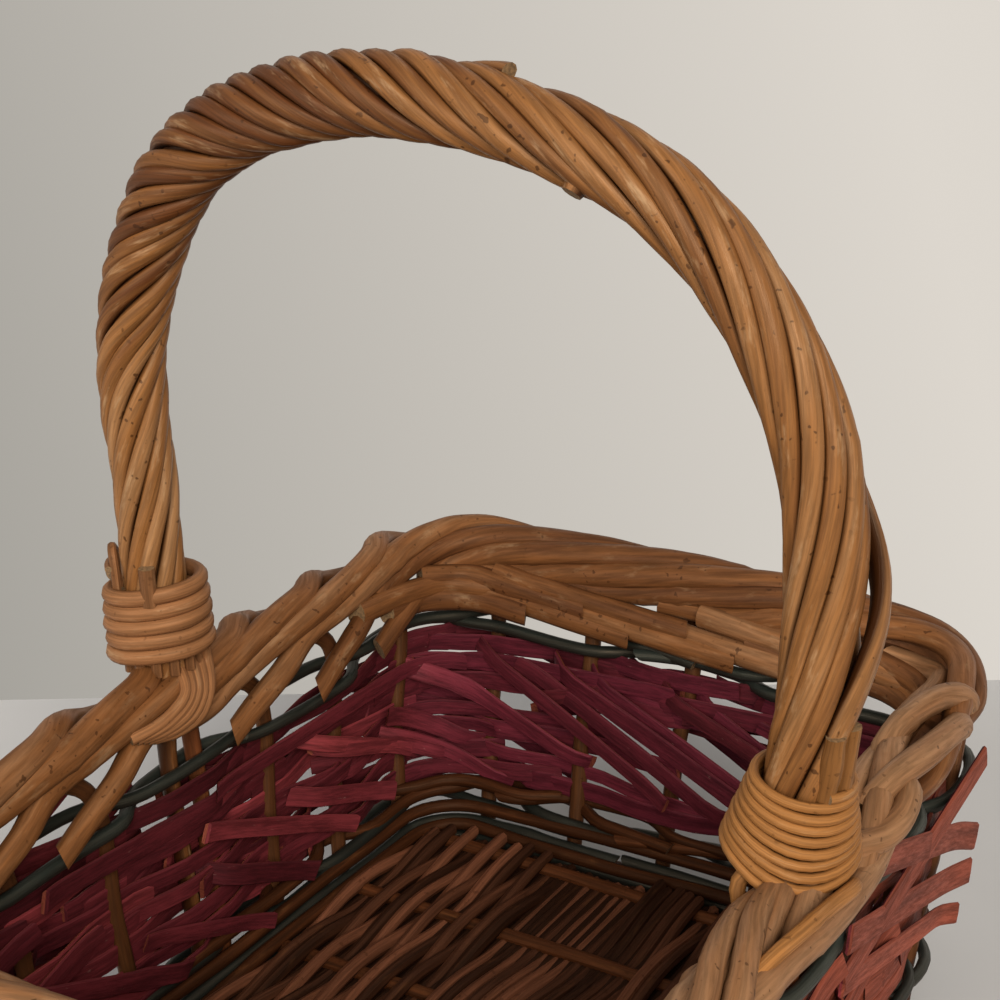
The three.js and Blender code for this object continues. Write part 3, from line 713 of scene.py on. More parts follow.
class BASKET_OT_handle(bpy.types.Operator):
    """Lay nine rods round the bow of the handle"""

    bl_idname = "basket.handle"
    bl_label = "Lay handle"

    def execute(self, context):
        basket = basket_of(context)
        self.bow(basket)
        for number in range(LAID_RODS):
            self.laid_rod(basket, number)
        return {"FINISHED"}

    def bow(self, basket):
        """The bow inside the lay, whose feet stand in the wall."""
        FOOT_TOP = 0.100
        STEP = 0.004
        ARCH_STEPS = 60
        BURIED = 0.3
        NARROWS = 0.02
        TONE = 0.1
        feet = {}
        for handle in (LEFT_HANDLE, RIGHT_HANDLE):
            foot = basket.standing(handle)[1]
            feet[handle] = [basket.wall(foot, basket.stand), basket.wall(foot, FOOT_TOP)]
        shares = [i / ARCH_STEPS for i in range(1, ARCH_STEPS)]
        points = [*feet[LEFT_HANDLE], *(basket.arch_at(s)[0] for s in shares), *reversed(feet[RIGHT_HANDLE])]
        half = basket.sizes.stake_diameter / 2
        inside = [basket.lay_radius(s) - basket.laid_width(s) * BURIED for s in shares]
        rope = [mix(half, wide, 1 - fade(min(s, 1 - s), NARROWS)) for s, wide in zip(shares, inside)]
        line, marks = smooth_line(points, STEP)
        strands = Strands()
        strands.rod(line, between([half, half, *rope, half, half], marks), TONE)
        self.cut_ends(basket, strands)
        strands.finish("handle_bow", "handle willow", "handle_willow", "handle_core")

    def cut_ends(self, basket, strands):
        """A cut rod end on the crown and a trimmed twig under it."""
        STEPS = 8
        CROWN_END = (0.498, 0.538)
        CROWN_ANGLES = (-2.6, -1.75)
        CROWN_LIFT = 0.0030
        TWIG_AT = 0.592
        TWIG_ANGLE = 0.95
        TWIG_RISES = (-0.003, -0.0005, 0.0020, 0.0036)
        TWIG_HALVES = (0.0050, 0.0046, 0.0037, 0.0032)
        steps = []
        for i in range(STEPS + 1):
            part = i / STEPS
            share = mix(*CROWN_END, part)
            steps.append((share, mix(*CROWN_ANGLES, part), basket.lay_radius(share) + CROWN_LIFT * part))
        line, facings = basket.round_arch(steps)
        strands.rod(line, basket.laid_width(CROWN_END[0]) / 2, 0.3, facings, slants=(0.0, 0.3))
        reach = basket.lay_radius(TWIG_AT)
        twig = [basket.off_arch(TWIG_AT, TWIG_ANGLE, reach + rise) for rise in TWIG_RISES]
        strands.rod(twig, TWIG_HALVES, 0.35)

    def laid_rod(self, basket, number):
        """One of the rods laid round the bow, nearly straight at the legs and tight at the shoulder."""
        STEPS = 210
        HIDDEN_END = 0.010
        TONES = (0.56, 0.34, 0.62, 0.47, 0.68, 0.40, 0.58, 0.30, 0.51)
        # Painted light and shade along the handle: every laid rod is paler on the left leg and darker at the
        # left shoulder.
        PAINTED_LIGHT_AT = 0.12
        PAINTED_LIGHT_SPREAD = 0.08
        PAINTED_LIGHT_SHIFT = 0.25
        PAINTED_SHADE_AT = 0.38
        PAINTED_SHADE_SPREAD = 0.14
        PAINTED_SHADE_SHIFT = 0.46
        SPRUNG = 0
        SPRUNG_AT = 0.838
        SPRUNG_SPREAD = 0.046
        SPRUNG_LIFT = 0.0062
        SPRUNG_SWELL = 0.15
        SWAY = 0.16
        STRAY = 0.0006
        PRESSED = 1.05
        start = basket.above_rim(HIDDEN_END)
        turn = 0.0
        share = start
        steps = []
        half_out = []
        half_across = []
        painted_shading = []
        girth = random.Random(number).uniform(0.93, 1.09)
        for i in range(STEPS + 1):
            here = mix(start, 1 - start, i / STEPS)
            turn += basket.lay_rate((here + share) / 2) * (here - share) * basket.arch_length
            share = here
            angle = FULL_TURN * (turn + number / LAID_RODS) + SWAY * ripple(share * 9, number * 4.4, 1.5)
            radius = basket.lay_radius(share) + STRAY * ripple(share * 13, number * 2.7, 6.5)
            sprung = fade(share - SPRUNG_AT, SPRUNG_SPREAD) if number == SPRUNG else 0.0
            radius += SPRUNG_LIFT * sprung
            steps.append((share, angle, radius))
            slope = FULL_TURN * radius * basket.lay_rate(share)
            room = math.pi * radius / LAID_RODS / math.hypot(1, slope)
            half_across.append(room * PRESSED * girth * (1 + SPRUNG_SWELL * sprung))
            half_out.append(basket.laid_width(share) * 0.5 * girth)
            # Painted light on the left leg and painted shade at the left shoulder, as tone shifts.
            pale = PAINTED_LIGHT_SHIFT * fade(share - PAINTED_LIGHT_AT, PAINTED_LIGHT_SPREAD)
            painted_shading.append(pale - PAINTED_SHADE_SHIFT * fade(share - PAINTED_SHADE_AT, PAINTED_SHADE_SPREAD))
        line, facings = basket.round_arch(steps)
        line = wandering(line, number + 0.3, 0.0004)
        half_out = grown(half_out, line, number, 0.06)
        strands = Strands()
        strands.rod(line, half_out, TONES[number], facings, across=half_across, sides=12, painted_shading=painted_shading)
        strands.finish(f"laid_rod_{number + 1}", "handle willow", "handle_willow", f"handle_rod_{number + 1}")


class BASKET_OT_left_binding(bpy.types.Operator):
    """Wind the left leg of the handle and lash it to the border"""

    bl_idname = "basket.left_binding"
    bl_label = "Bind left leg"

    def execute(self, context):
        basket = basket_of(context)
        self.winding(basket)
        self.lashing(basket)
        return {"FINISHED"}

    def winding(self, basket):
        """A thick rod wound round the leg, drawn out to an oval."""
        TURNS = 5
        STEPS = 28
        FIRST_RISE = 0.0206
        START = 0.2
        PITCH = 0.94
        TILT = 0.0004
        HIGH_SIDE = 2.12
        ROUND = 0.0152
        OVAL = 0.0019
        TAPER = 0.0006
        width = basket.sizes.left_winding
        steps = []
        for i in range(TURNS * STEPS + 1):
            turns = i / STEPS
            angle = FULL_TURN * (turns - START)
            share = basket.above_rim(FIRST_RISE + turns * width * PITCH + TILT * math.cos(angle - HIGH_SIDE))
            radius = ROUND + OVAL * math.cos(2 * (angle - HIGH_SIDE)) - TAPER * turns / TURNS
            steps.append((share, angle, radius))
        line, facings = basket.round_arch(steps)
        line = wandering(line, 3.0, 0.0005)
        strands = Strands()
        strands.rod(line, grown(width / 2, line, 4.0), 0.55, facings, flat=0.92, sides=12)
        self.packing(basket, strands)
        self.ties(basket, strands)
        strands.finish("left_winding", "left binding", "left_binding", "left_collar")

    def beside_leg(self, basket, share, angle, lift):
        """A point on the left leg, lifted off the laid rods."""
        return basket.off_arch(share, angle, basket.lay_radius(share) + basket.sizes.left_rod / 2 + lift)

    def packing(self, basket, strands):
        """Short rods that fill the space between the handle and its winding."""
        COUNT = 12
        HALF = 0.0020
        LIFT = 0.7
        RISES = (0.014, 0.024, 0.034, 0.0430)
        for number in range(COUNT):
            angle = FULL_TURN * number / COUNT
            line = [self.beside_leg(basket, basket.above_rim(rise), angle, HALF * LIFT) for rise in RISES]
            strands.rod(line, HALF, 0.1, sides=8)

    def ties(self, basket, strands):
        """A bent twig, a strand across it and a cut rod end, held by the top turns."""
        TOP = 0.0475
        STEP = 0.0015
        TWIG_HALF = 0.0016
        TWIG_AT = -0.95
        # Rise above the top turn, and swing to the side
        TWIG = (
            (-0.006, -0.30), (0.006, -0.30), (0.0104, -0.20), (0.0122, 0.0),
            (0.0104, 0.20), (0.006, 0.30), (-0.006, 0.30),
        )
        TWIG_LIFT = 1.6
        ACROSS_RISE = 0.0055
        ACROSS = (-0.55, -0.15, 0.35)
        ACROSS_LIFT = 3.0
        STUB_HALF = 0.0029
        STUB_AT = 0.55
        STUB_RISES = (-0.006, 0.0, 0.004, 0.008)
        STUB_LIFT = 0.6
        low = basket.above_rim(TOP)

        def held(rise, angle, lift):
            return self.beside_leg(basket, low + basket.above_rim(rise), angle, lift)

        twig = [held(rise, TWIG_AT + swing, TWIG_HALF * TWIG_LIFT) for rise, swing in TWIG]
        strands.rod(smooth_line(twig, STEP)[0], TWIG_HALF, 0.3, sides=8)
        across = [held(ACROSS_RISE, TWIG_AT + swing, TWIG_HALF * ACROSS_LIFT) for swing in ACROSS]
        strands.rod(smooth_line(across, STEP)[0], TWIG_HALF * 0.8, 0.7, sides=8)
        stub = [held(rise, STUB_AT, STUB_HALF * STUB_LIFT) for rise in STUB_RISES]
        strands.rod(stub, STUB_HALF, 0.2)

    def lashing(self, basket):
        """Strands that sweep from the winding over the inside of the border and tuck under its rods."""
        COUNT = 5
        STEP = 0.0025
        COLLAR_RISE = 0.025
        COLLAR_ANGLES = (2.05, 0.85)
        # Half turns about the rim and distance along it, for the far strand and the near one
        FAR = ((0.71, -0.010), (0.89, -0.003), (1.01, 0.004), (1.05, 0.014), (1.06, 0.024))
        NEAR = ((0.61, 0.001), (0.83, 0.008), (0.90, 0.017), (0.93, 0.027), (0.95, 0.035))
        LIFTS = (0.0070, 0.0072, 0.0070, 0.0062, 0.0030)
        width = basket.sizes.lashing
        share = basket.above_rim(COLLAR_RISE)
        collar = basket.lay_radius(share) + basket.laid_width(share) / 2 + width * 0.6
        strands = Strands()
        for number in range(COUNT):
            part = number / (COUNT - 1)
            angle = mix(*COLLAR_ANGLES, part)
            steps = []
            for far, near, lift in zip(FAR, NEAR, LIFTS):
                place = LEFT_HANDLE + mix(far[1], near[1], part) / basket.spacing
                steps.append((place, mix(far[0], near[0], part) * math.pi, lift))
            points, facings = basket.along_border(steps)
            points.insert(0, basket.off_arch(share, angle, collar))
            facings.insert(0, basket.beside_arch(share, angle))
            strands.bent_rod(points, facings, width / 2, 0.75 + 0.1 * number, STEP, number + 20.0, flat=0.9)
        strands.finish("left_strands", "left binding", "left_binding", "left_lashing")


class BASKET_OT_right_binding(bpy.types.Operator):
    """Wind the right leg of the handle where it enters the border"""

    bl_idname = "basket.right_binding"
    bl_label = "Bind right leg"

    # Share of the handle's length at which the right leg's thickness is taken
    LEG = 0.95

    def execute(self, context):
        basket = basket_of(context)
        self.winding(basket)
        for number in range(2):
            self.peg(basket, number)
        return {"FINISHED"}

    def winding(self, basket):
        """A thin rod wound round the leg, wider towards the border and sagging in front."""
        TURNS = 9
        STEPS = 30
        START = 0.9
        TOP_RISE = 0.0350
        PITCH = 0.0029
        SPREAD = 0.0062
        SAG = 0.0062
        FRONT_ANGLE = -0.55
        width = basket.sizes.right_winding
        line = []
        facings = []
        for i in range(TURNS * STEPS + 1):
            turns = i / STEPS
            down = i / (TURNS * STEPS)
            angle = -FULL_TURN * turns - START
            share = 1 - basket.above_rim(TOP_RISE + basket.sizes.rim_dip - turns * PITCH)
            radius = basket.lay_radius(self.LEG) + basket.sizes.right_rod / 2 + width / 2 + SPREAD * down
            point = basket.off_arch(share, angle, radius)
            front = max(0.0, math.cos(angle - FRONT_ANGLE)) ** 2.5
            point.z -= SAG * front * down**1.5
            line.append(point)
            facings.append(basket.beside_arch(share, angle))
        line = wandering(line, 8.0, 0.0004)
        strands = Strands()
        strands.rod(line, grown(width / 2, line, 9.0, 0.06), 0.55, facings, flat=0.95)
        self.loose_ends(basket, strands)
        strands.finish("right_winding", "right binding", "right_binding", "right_collar")

    def loose_ends(self, basket, strands):
        """The winding's two ends: one laid down the border, one tucked inside."""
        STEP = 0.003
        HALF_SHARE = 0.74
        TONES = (0.8, 0.4)
        LIFTS = (-0.002, 0.0060, 0.0072, 0.0072, 0.0045, -0.003)
        # Places from the handle, and degrees turned about the rim
        PATHS = (
            ((0.10, 24), (-0.06, 31), (-0.45, 37), (-0.90, 42), (-1.20, 47), (-1.45, 52)),
            ((-0.15, 104), (-0.24, 118), (-0.32, 133), (-0.38, 150), (-0.42, 165), (-0.40, 198)),
        )
        half = basket.sizes.right_winding * HALF_SHARE
        for number, (path, tone) in enumerate(zip(PATHS, TONES)):
            steps = [(at, math.radians(turned), lift) for (at, turned), lift in zip(path, LIFTS)]
            strands.bent_rod(*basket.along_border(steps), half, tone, STEP, number + 31.0)

    def peg(self, basket, number):
        """A cut rod end that stands beside the handle above the winding."""
        ANGLES = (-0.94, -1.46)
        TALLER = 0.0015
        HALF = 0.0031
        PRESSED = 0.2
        RISES = (0.026, 0.038, 0.050, 0.0600)
        STEP = 0.002
        TONE = -0.2
        reach = basket.lay_radius(self.LEG) + basket.sizes.right_rod / 2 - HALF * PRESSED
        shares = [1 - basket.above_rim(rise + number * TALLER) for rise in RISES]
        line, _ = smooth_line([basket.off_arch(share, ANGLES[number], reach) for share in shares], STEP)
        strands = Strands()
        strands.rod(line, grown(HALF, line, number + 40.0), TONE, slants=(0.0, 0.15))
        strands.finish(
            f"right_cut_end_{number + 1}", "right binding", "right_binding", f"right_peg_{number + 1}"
        )


class BASKET_OT_border(bpy.types.Operator):
    """Stand the stakes in the wall and turn them down into the border"""

    bl_idname = "basket.border"
    bl_label = "Turn down border"

    STEP = 0.0035
    # Share of a tail's run, drop below the rim and distance in from the wall's middle
    TAIL = ((0.35, 0.0092, 0.0112), (0.7, 0.0150, 0.0126), (1.0, 0.0204, 0.0138))
    # Places passed, degrees turned about the rim from its outside, and lift off the roll
    QUICK_LAY = (
        (0.45, -48, -0.0020), (0.75, -38, 0.0), (1.0, -28, 0.0), (1.4, -8, 0.0),
        (1.7, 12, 0.0), (1.92, 42, 0.0006), (2.14, 80, 0.0014), (2.36, 106, 0.0020),
        (2.75, 122, 0.0022), (3.3, 140, 0.0012), (3.9, 160, -0.0008), (4.5, 190, -0.0016),
    )
    SLOW_LAY = (
        (0.45, -48, -0.0020), (0.75, -34, 0.0), (1.0, -14, 0.0), (1.4, 28, 0.0),
        (1.8, 60, 0.0006), (2.2, 84, 0.0010), (2.6, 104, 0.0010), (3.0, 124, 0.0006),
        (3.4, 141, 0.0), (3.8, 158, -0.0008), (4.2, 178, -0.0012), (4.5, 198, -0.0010),
    )

    def execute(self, context):
        basket = basket_of(context)
        for place in range(UPRIGHTS):
            if place not in (RIGHT_HANDLE, LEFT_HANDLE):
                self.stake(basket, place)
        return {"FINISHED"}

    def tone(self, place, rng):
        """Amber rods on the left, brown at the back, weathered ones on the right."""
        if 2 < place % UPRIGHTS < 8:
            return rng.uniform(0.1, 0.4)
        if 8 <= place % UPRIGHTS < 17:
            return rng.uniform(0.42, 0.62)
        return rng.uniform(0.7, 1.0)

    def stake(self, basket, place):
        """One stake: up through the wall, over the rim and along it, and down the inside as a tail."""
        STRAIGHT_TOP = 0.106
        MIDDLE = 0.05
        CROSSING = 2.3
        SWAY = 0.07
        STRAY = 0.0006
        SUNK = 0.0030
        SUNK_AT = -0.9
        SUNK_REACH = 0.045
        TAIL_TAPER = 0.84
        SECOND_ROW = 0.0068
        SECOND_START = 0.45
        # Painted shade: a tone shift that darkens the stake where it stands in the wall among the strips.
        WALL_PAINTED_SHADE = -0.5
        TUCKED = (0.3, 0.7)
        TUCKED_ANGLE = math.radians(206)
        TUCKED_SHARE = 0.9
        rng = random.Random(place + 100)
        quick = max(0.0, -basket.rim.at(place + CROSSING)[1].x)
        rod = basket.sizes.border_rod / 2 * rng.uniform(0.90, 1.04) * mix(0.90, 1.0, quick)
        wall = basket.sizes.stake_diameter / 2
        points = [basket.wall(place, height) for height in (basket.stand, MIDDLE, STRAIGHT_TOP)]
        facings = [basket.wall_out(place, STRAIGHT_TOP)] * 3
        halves = [wall] * 3
        steps = []
        for slow_step, quick_step in zip(self.SLOW_LAY, self.QUICK_LAY):
            passed, turned, lift = (mix(a, b, quick) for a, b in zip(slow_step, quick_step))
            at = place + passed
            lift += STRAY * ripple(passed * 2.1, place * 1.7, 4.5)
            lift -= SUNK * fade(basket.from_place(at, SUNK_AT), SUNK_REACH)
            steps.append((at, math.radians(turned) + SWAY * ripple(passed * 1.3, place * 3.3, 0.5), lift))
            halves.append(mix(wall, rod, min(1.0, passed)))
        last = place + self.SLOW_LAY[-1][0]
        at_handle = any(last < handle + 0.1 < last + 1.1 for handle in (LEFT_HANDLE, UPRIGHTS))
        hidden = at_handle or self.on_end(basket, last, 0.5)
        if hidden:
            steps += [(last + passed, TUCKED_ANGLE, 0.0) for passed in TUCKED]
            halves += [rod * TUCKED_SHARE] * 2
        laid, laid_facings = basket.along_border(steps)
        points += laid
        facings += laid_facings
        if not hidden:
            run = rng.uniform(0.95, 1.15)
            depth = rng.uniform(0.9, 1.15)
            for passed, drop, stand_off in self.TAIL:
                self.inside_step(basket, last + run * passed, drop * depth, stand_off, points, facings)
                halves.append(mix(rod, rod * TAIL_TAPER, passed))
        slants = (0.0, rng.uniform(0.5, 1.2))
        tone = self.tone(place + CROSSING, rng)
        # Painted shade on the stake's wall part, half of it at the rim, none along the border.
        painted_shading = [WALL_PAINTED_SHADE] * 3 + [WALL_PAINTED_SHADE / 2] + [0.0] * (len(points) - 4)
        shape = {"wander": (place + 0.7, 0.0007), "flat": 0.88, "sides": 12, "slants": slants}
        strands = Strands()
        strands.bent_rod(points, facings, halves, tone, self.STEP, place + 50.0, painted_shading=painted_shading, **shape)
        self.filling(basket, strands, place)
        if self.on_end(basket, last, 0.12):
            self.level_end(basket, strands, last, 0.0, rng)
            self.level_end(basket, strands, last + SECOND_START, SECOND_ROW, rng)
        if place in (RIGHT_HANDLE + 1, LEFT_HANDLE + 1):
            self.level_end(basket, strands, last - 1, 0.0, rng)
        if place == RIGHT_HANDLE + 1:
            self.bent_ends(basket, strands)
        strands.finish(f"border_stake_{place:02d}", "border willow", "border_willow", f"stake_{place:02d}")

    def on_end(self, basket, place, least):
        """Whether a tail that starts at a place would run along an end wall, or turn as far towards it."""
        return basket.wall_out(place + 0.8, 0.1).y ** 2 > least

    def inside_step(self, basket, at, drop, stand_off, points, facings):
        """Adds a point on the inside of the wall, some way below the rim."""
        height = basket.rim_height_at(at) - drop
        points.append(basket.wall(at, height, -stand_off))
        facings.append(-basket.wall_out(at, height))

    def level_end(self, basket, strands, start, raised, rng):
        """A rod end tucked between the border and the wale, along the inside of an end wall."""
        # Places passed, drop below the rim and distance in from the wall's middle
        STEPS = ((1.9, 0.0110, 0.0104), (1.3, 0.0134, 0.0116), (0.6, 0.0158, 0.0123), (0.0, 0.0178, 0.0124))
        half = basket.sizes.border_rod * rng.uniform(0.42, 0.47)
        points = []
        facings = []
        for passed, drop, stand_off in STEPS:
            self.inside_step(basket, start + passed, drop - raised, stand_off, points, facings)
        slants = (0.0, rng.uniform(0.3, 1.0))
        tone = rng.uniform(0.1, 0.7)
        shape = {"wander": (start + 0.1, 0.0006), "flat": 0.85, "sides": 12, "slants": slants}
        strands.bent_rod(points, facings, half, tone, self.STEP, start + 33.0, **shape)

    def filling(self, basket, strands, place):
        """The inside of the roll."""
        STEPS = 12
        HALF = 0.0064
        RUN = 1.2
        RUN_PAST_HANDLE = 2.2
        run = RUN_PAST_HANDLE if (place + 1) % UPRIGHTS in (RIGHT_HANDLE, LEFT_HANDLE) else RUN
        line = [basket.rim_middle(place + run * i / STEPS) for i in range(STEPS + 1)]
        strands.rod(line, HALF, 0.0, UP, sides=8)

    def bent_ends(self, basket, strands):
        """Rods round the right binding that come out of the border and go back into it."""
        TONE = 0.85
        # Places from the handle, and degrees turned about the rim
        PATHS = (
            ((1.40, 120), (1.62, 110), (2.26, 86), (2.62, 52), (2.76, 16), (2.80, -22)),
            ((0.80, 78), (1.02, 66), (1.64, 46), (2.30, 20), (2.48, -10), (2.52, -40)),
            ((1.30, 50), (1.14, 34), (0.86, 24), (0.58, 30), (0.30, 54), (0.12, 70)),
            ((-2.70, 52), (-1.90, 80), (-1.38, 104), (-0.86, 130), (-0.46, 150), (-0.10, 168)),
            ((-2.50, 20), (-1.72, 48), (-1.29, 70), (-0.86, 94), (-0.46, 114), (-0.10, 136)),
            ((-2.00, 44), (-1.04, 24), (-0.50, 17), (0.00, 12), (0.50, 2), (1.00, -14)),
        )
        LIFTS = (-0.0030, 0.0026, 0.0034, 0.0016, 0.0, -0.0030)
        HALF_SHARES = (0.43, 0.43, 0.43, 0.35, 0.35, 0.43)
        for number, (path, share) in enumerate(zip(PATHS, HALF_SHARES)):
            half = basket.sizes.border_rod * share
            steps = [(place, math.radians(turned), lift) for (place, turned), lift in zip(path, LIFTS)]
            points, facings = basket.along_border(steps)
            strands.bent_rod(points, facings, half, TONE, self.STEP, number + 90.0, flat=0.88, sides=12)


class BASKET_OT_uprights(bpy.types.Operator):
    """Stand a second upright beside each foot of the handle"""

    bl_idname = "basket.uprights"
    bl_label = "Stand liners"

    def execute(self, context):
        TOP = 0.113
        STEPS = 24
        TONE = 0.6
        basket = basket_of(context)
        for side, handle in (("left", LEFT_HANDLE), ("right", RIGHT_HANDLE)):
            place = basket.standing(handle)[0]
            line = [basket.wall(place, mix(basket.stand, TOP, i / STEPS)) for i in range(STEPS + 1)]
            line = wandering(line, handle + 0.2, 0.0005)
            strands = Strands()
            strands.rod(line, grown(basket.sizes.stake_diameter / 2, line, handle + 60.0), TONE)
            strands.finish(f"{side}_upright", "brown willow", "brown_willow", f"{side}_liner")
        return {"FINISHED"}


class BASKET_OT_wales(bpy.types.Operator):
    """Weave the dark rods round the wall under the border and above the base"""

    bl_idname = "basket.wales"
    bl_label = "Weave wales"

    def execute(self, context):
        SECOND_PHASE = 0.8
        SECOND_RAISE = 0.0028
        TONE_STEP = 0.25
        UPPER_TONE = 0.3
        basket = basket_of(context)
        # Node, bark, phase of its weave and number of rods laid end over end
        plan = (
            ("upper_wale_1", "green", 0, 3),
            ("upper_wale_2", "green", 1.5, 3),
            ("lower_wale_1", "green", 0, 2),
            ("lower_wale_2", "brown", 1.5, 2),
        )
        for node, bark, phase, rods in plan:
            strands = Strands()
            upper = node.startswith("upper")
            for number in range(rods):
                raised = basket.sizes.wale_raise if upper else 0.0
                tone = TONE_STEP * number + (UPPER_TONE if upper else 0.0)
                self.woven_rod(basket, strands, node, phase, number, rods, raised, tone)
            if not upper:
                self.woven_rod(basket, strands, node, phase + SECOND_PHASE, 0, 1, SECOND_RAISE, 0.0)
                self.edge_rods(basket, strands, phase)
            strands.finish(f"woven_{node}", f"{bark} willow", f"{bark}_willow", node)
        return {"FINISHED"}

    def edge_rods(self, basket, strands, phase):
        """Rods laid along the foot of the wall on the inside."""
        STEP = 0.12
        START = 6.4
        GAP = 0.1
        SWAY = 0.0016
        # Height and distance out from the wall's middle
        LIE = ((0.0125, -0.0095), (0.0070, -0.0122)) if phase == 0 else ((0.0178, -0.0078), (0.0120, -0.0142))
        steps = round(UPRIGHTS / STEP)
        for number, (height, stand_off) in enumerate(LIE):
            line = []
            for i in range(steps + 1):
                place = START + 5 * (phase + number) + (UPRIGHTS - GAP) * i / steps
                sway = SWAY * ripple(place * 0.9, phase * 9 + number * 4, 7.5)
                line.append(basket.wall(place, height + sway, stand_off))
            widths = grown(basket.sizes.wale_diameter / 2, line, phase + number + 14.0, 0.06)
            strands.rod(line, widths, 0.0, UP, sides=9, slants=(0.6, 0.6))

    def woven_rod(self, basket, strands, node, phase, number, rods, raised, tone):
        """One of the rods of a wale, whose tip lies over the next one's butt."""
        LAP = 0.55
        STEP = 0.11
        DRIFT = 0.0030
        CLEARANCE = 0.0002
        BUTT = 0.05
        TIP = 0.93
        TIP_DROP = 0.0022
        TUCK = 0.003
        TAPER = (1.04, 0.86)
        FIRST_PLACE = 3.3
        PHASE_SHIFT = 1.7
        sizes = basket.sizes
        low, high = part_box(node)
        height = (low.z + high.z) / 2 + raised
        reach = (sizes.stake_diameter + sizes.wale_diameter) / 2 + CLEARANCE
        run = UPRIGHTS / rods
        start = number * run + FIRST_PLACE + phase * PHASE_SHIFT
        seed = height * 1000 + number
        line = []
        halves = []
        steps = round((run + LAP) / STEP)
        for i in range(steps + 1):
            place = start + (run + LAP) * i / steps
            tip = max(0.0, (i - steps * TIP) / (steps * (1 - TIP)))
            butt = max(0.0, 1 - i / (steps * BUTT))
            side = basket.weave_side(place, phase)
            drift = DRIFT * ripple(place * 0.7, seed, 3.5)
            stand_off = reach * side - TUCK * (tip + butt)
            line.append(basket.wall(place, height + drift - TIP_DROP * tip, stand_off))
            halves.append(sizes.wale_diameter / 2 * mix(*TAPER, i / steps))
        strands.rod(line, grown(halves, line, seed), tone, UP, sides=9, slants=(0.5, 0.8))


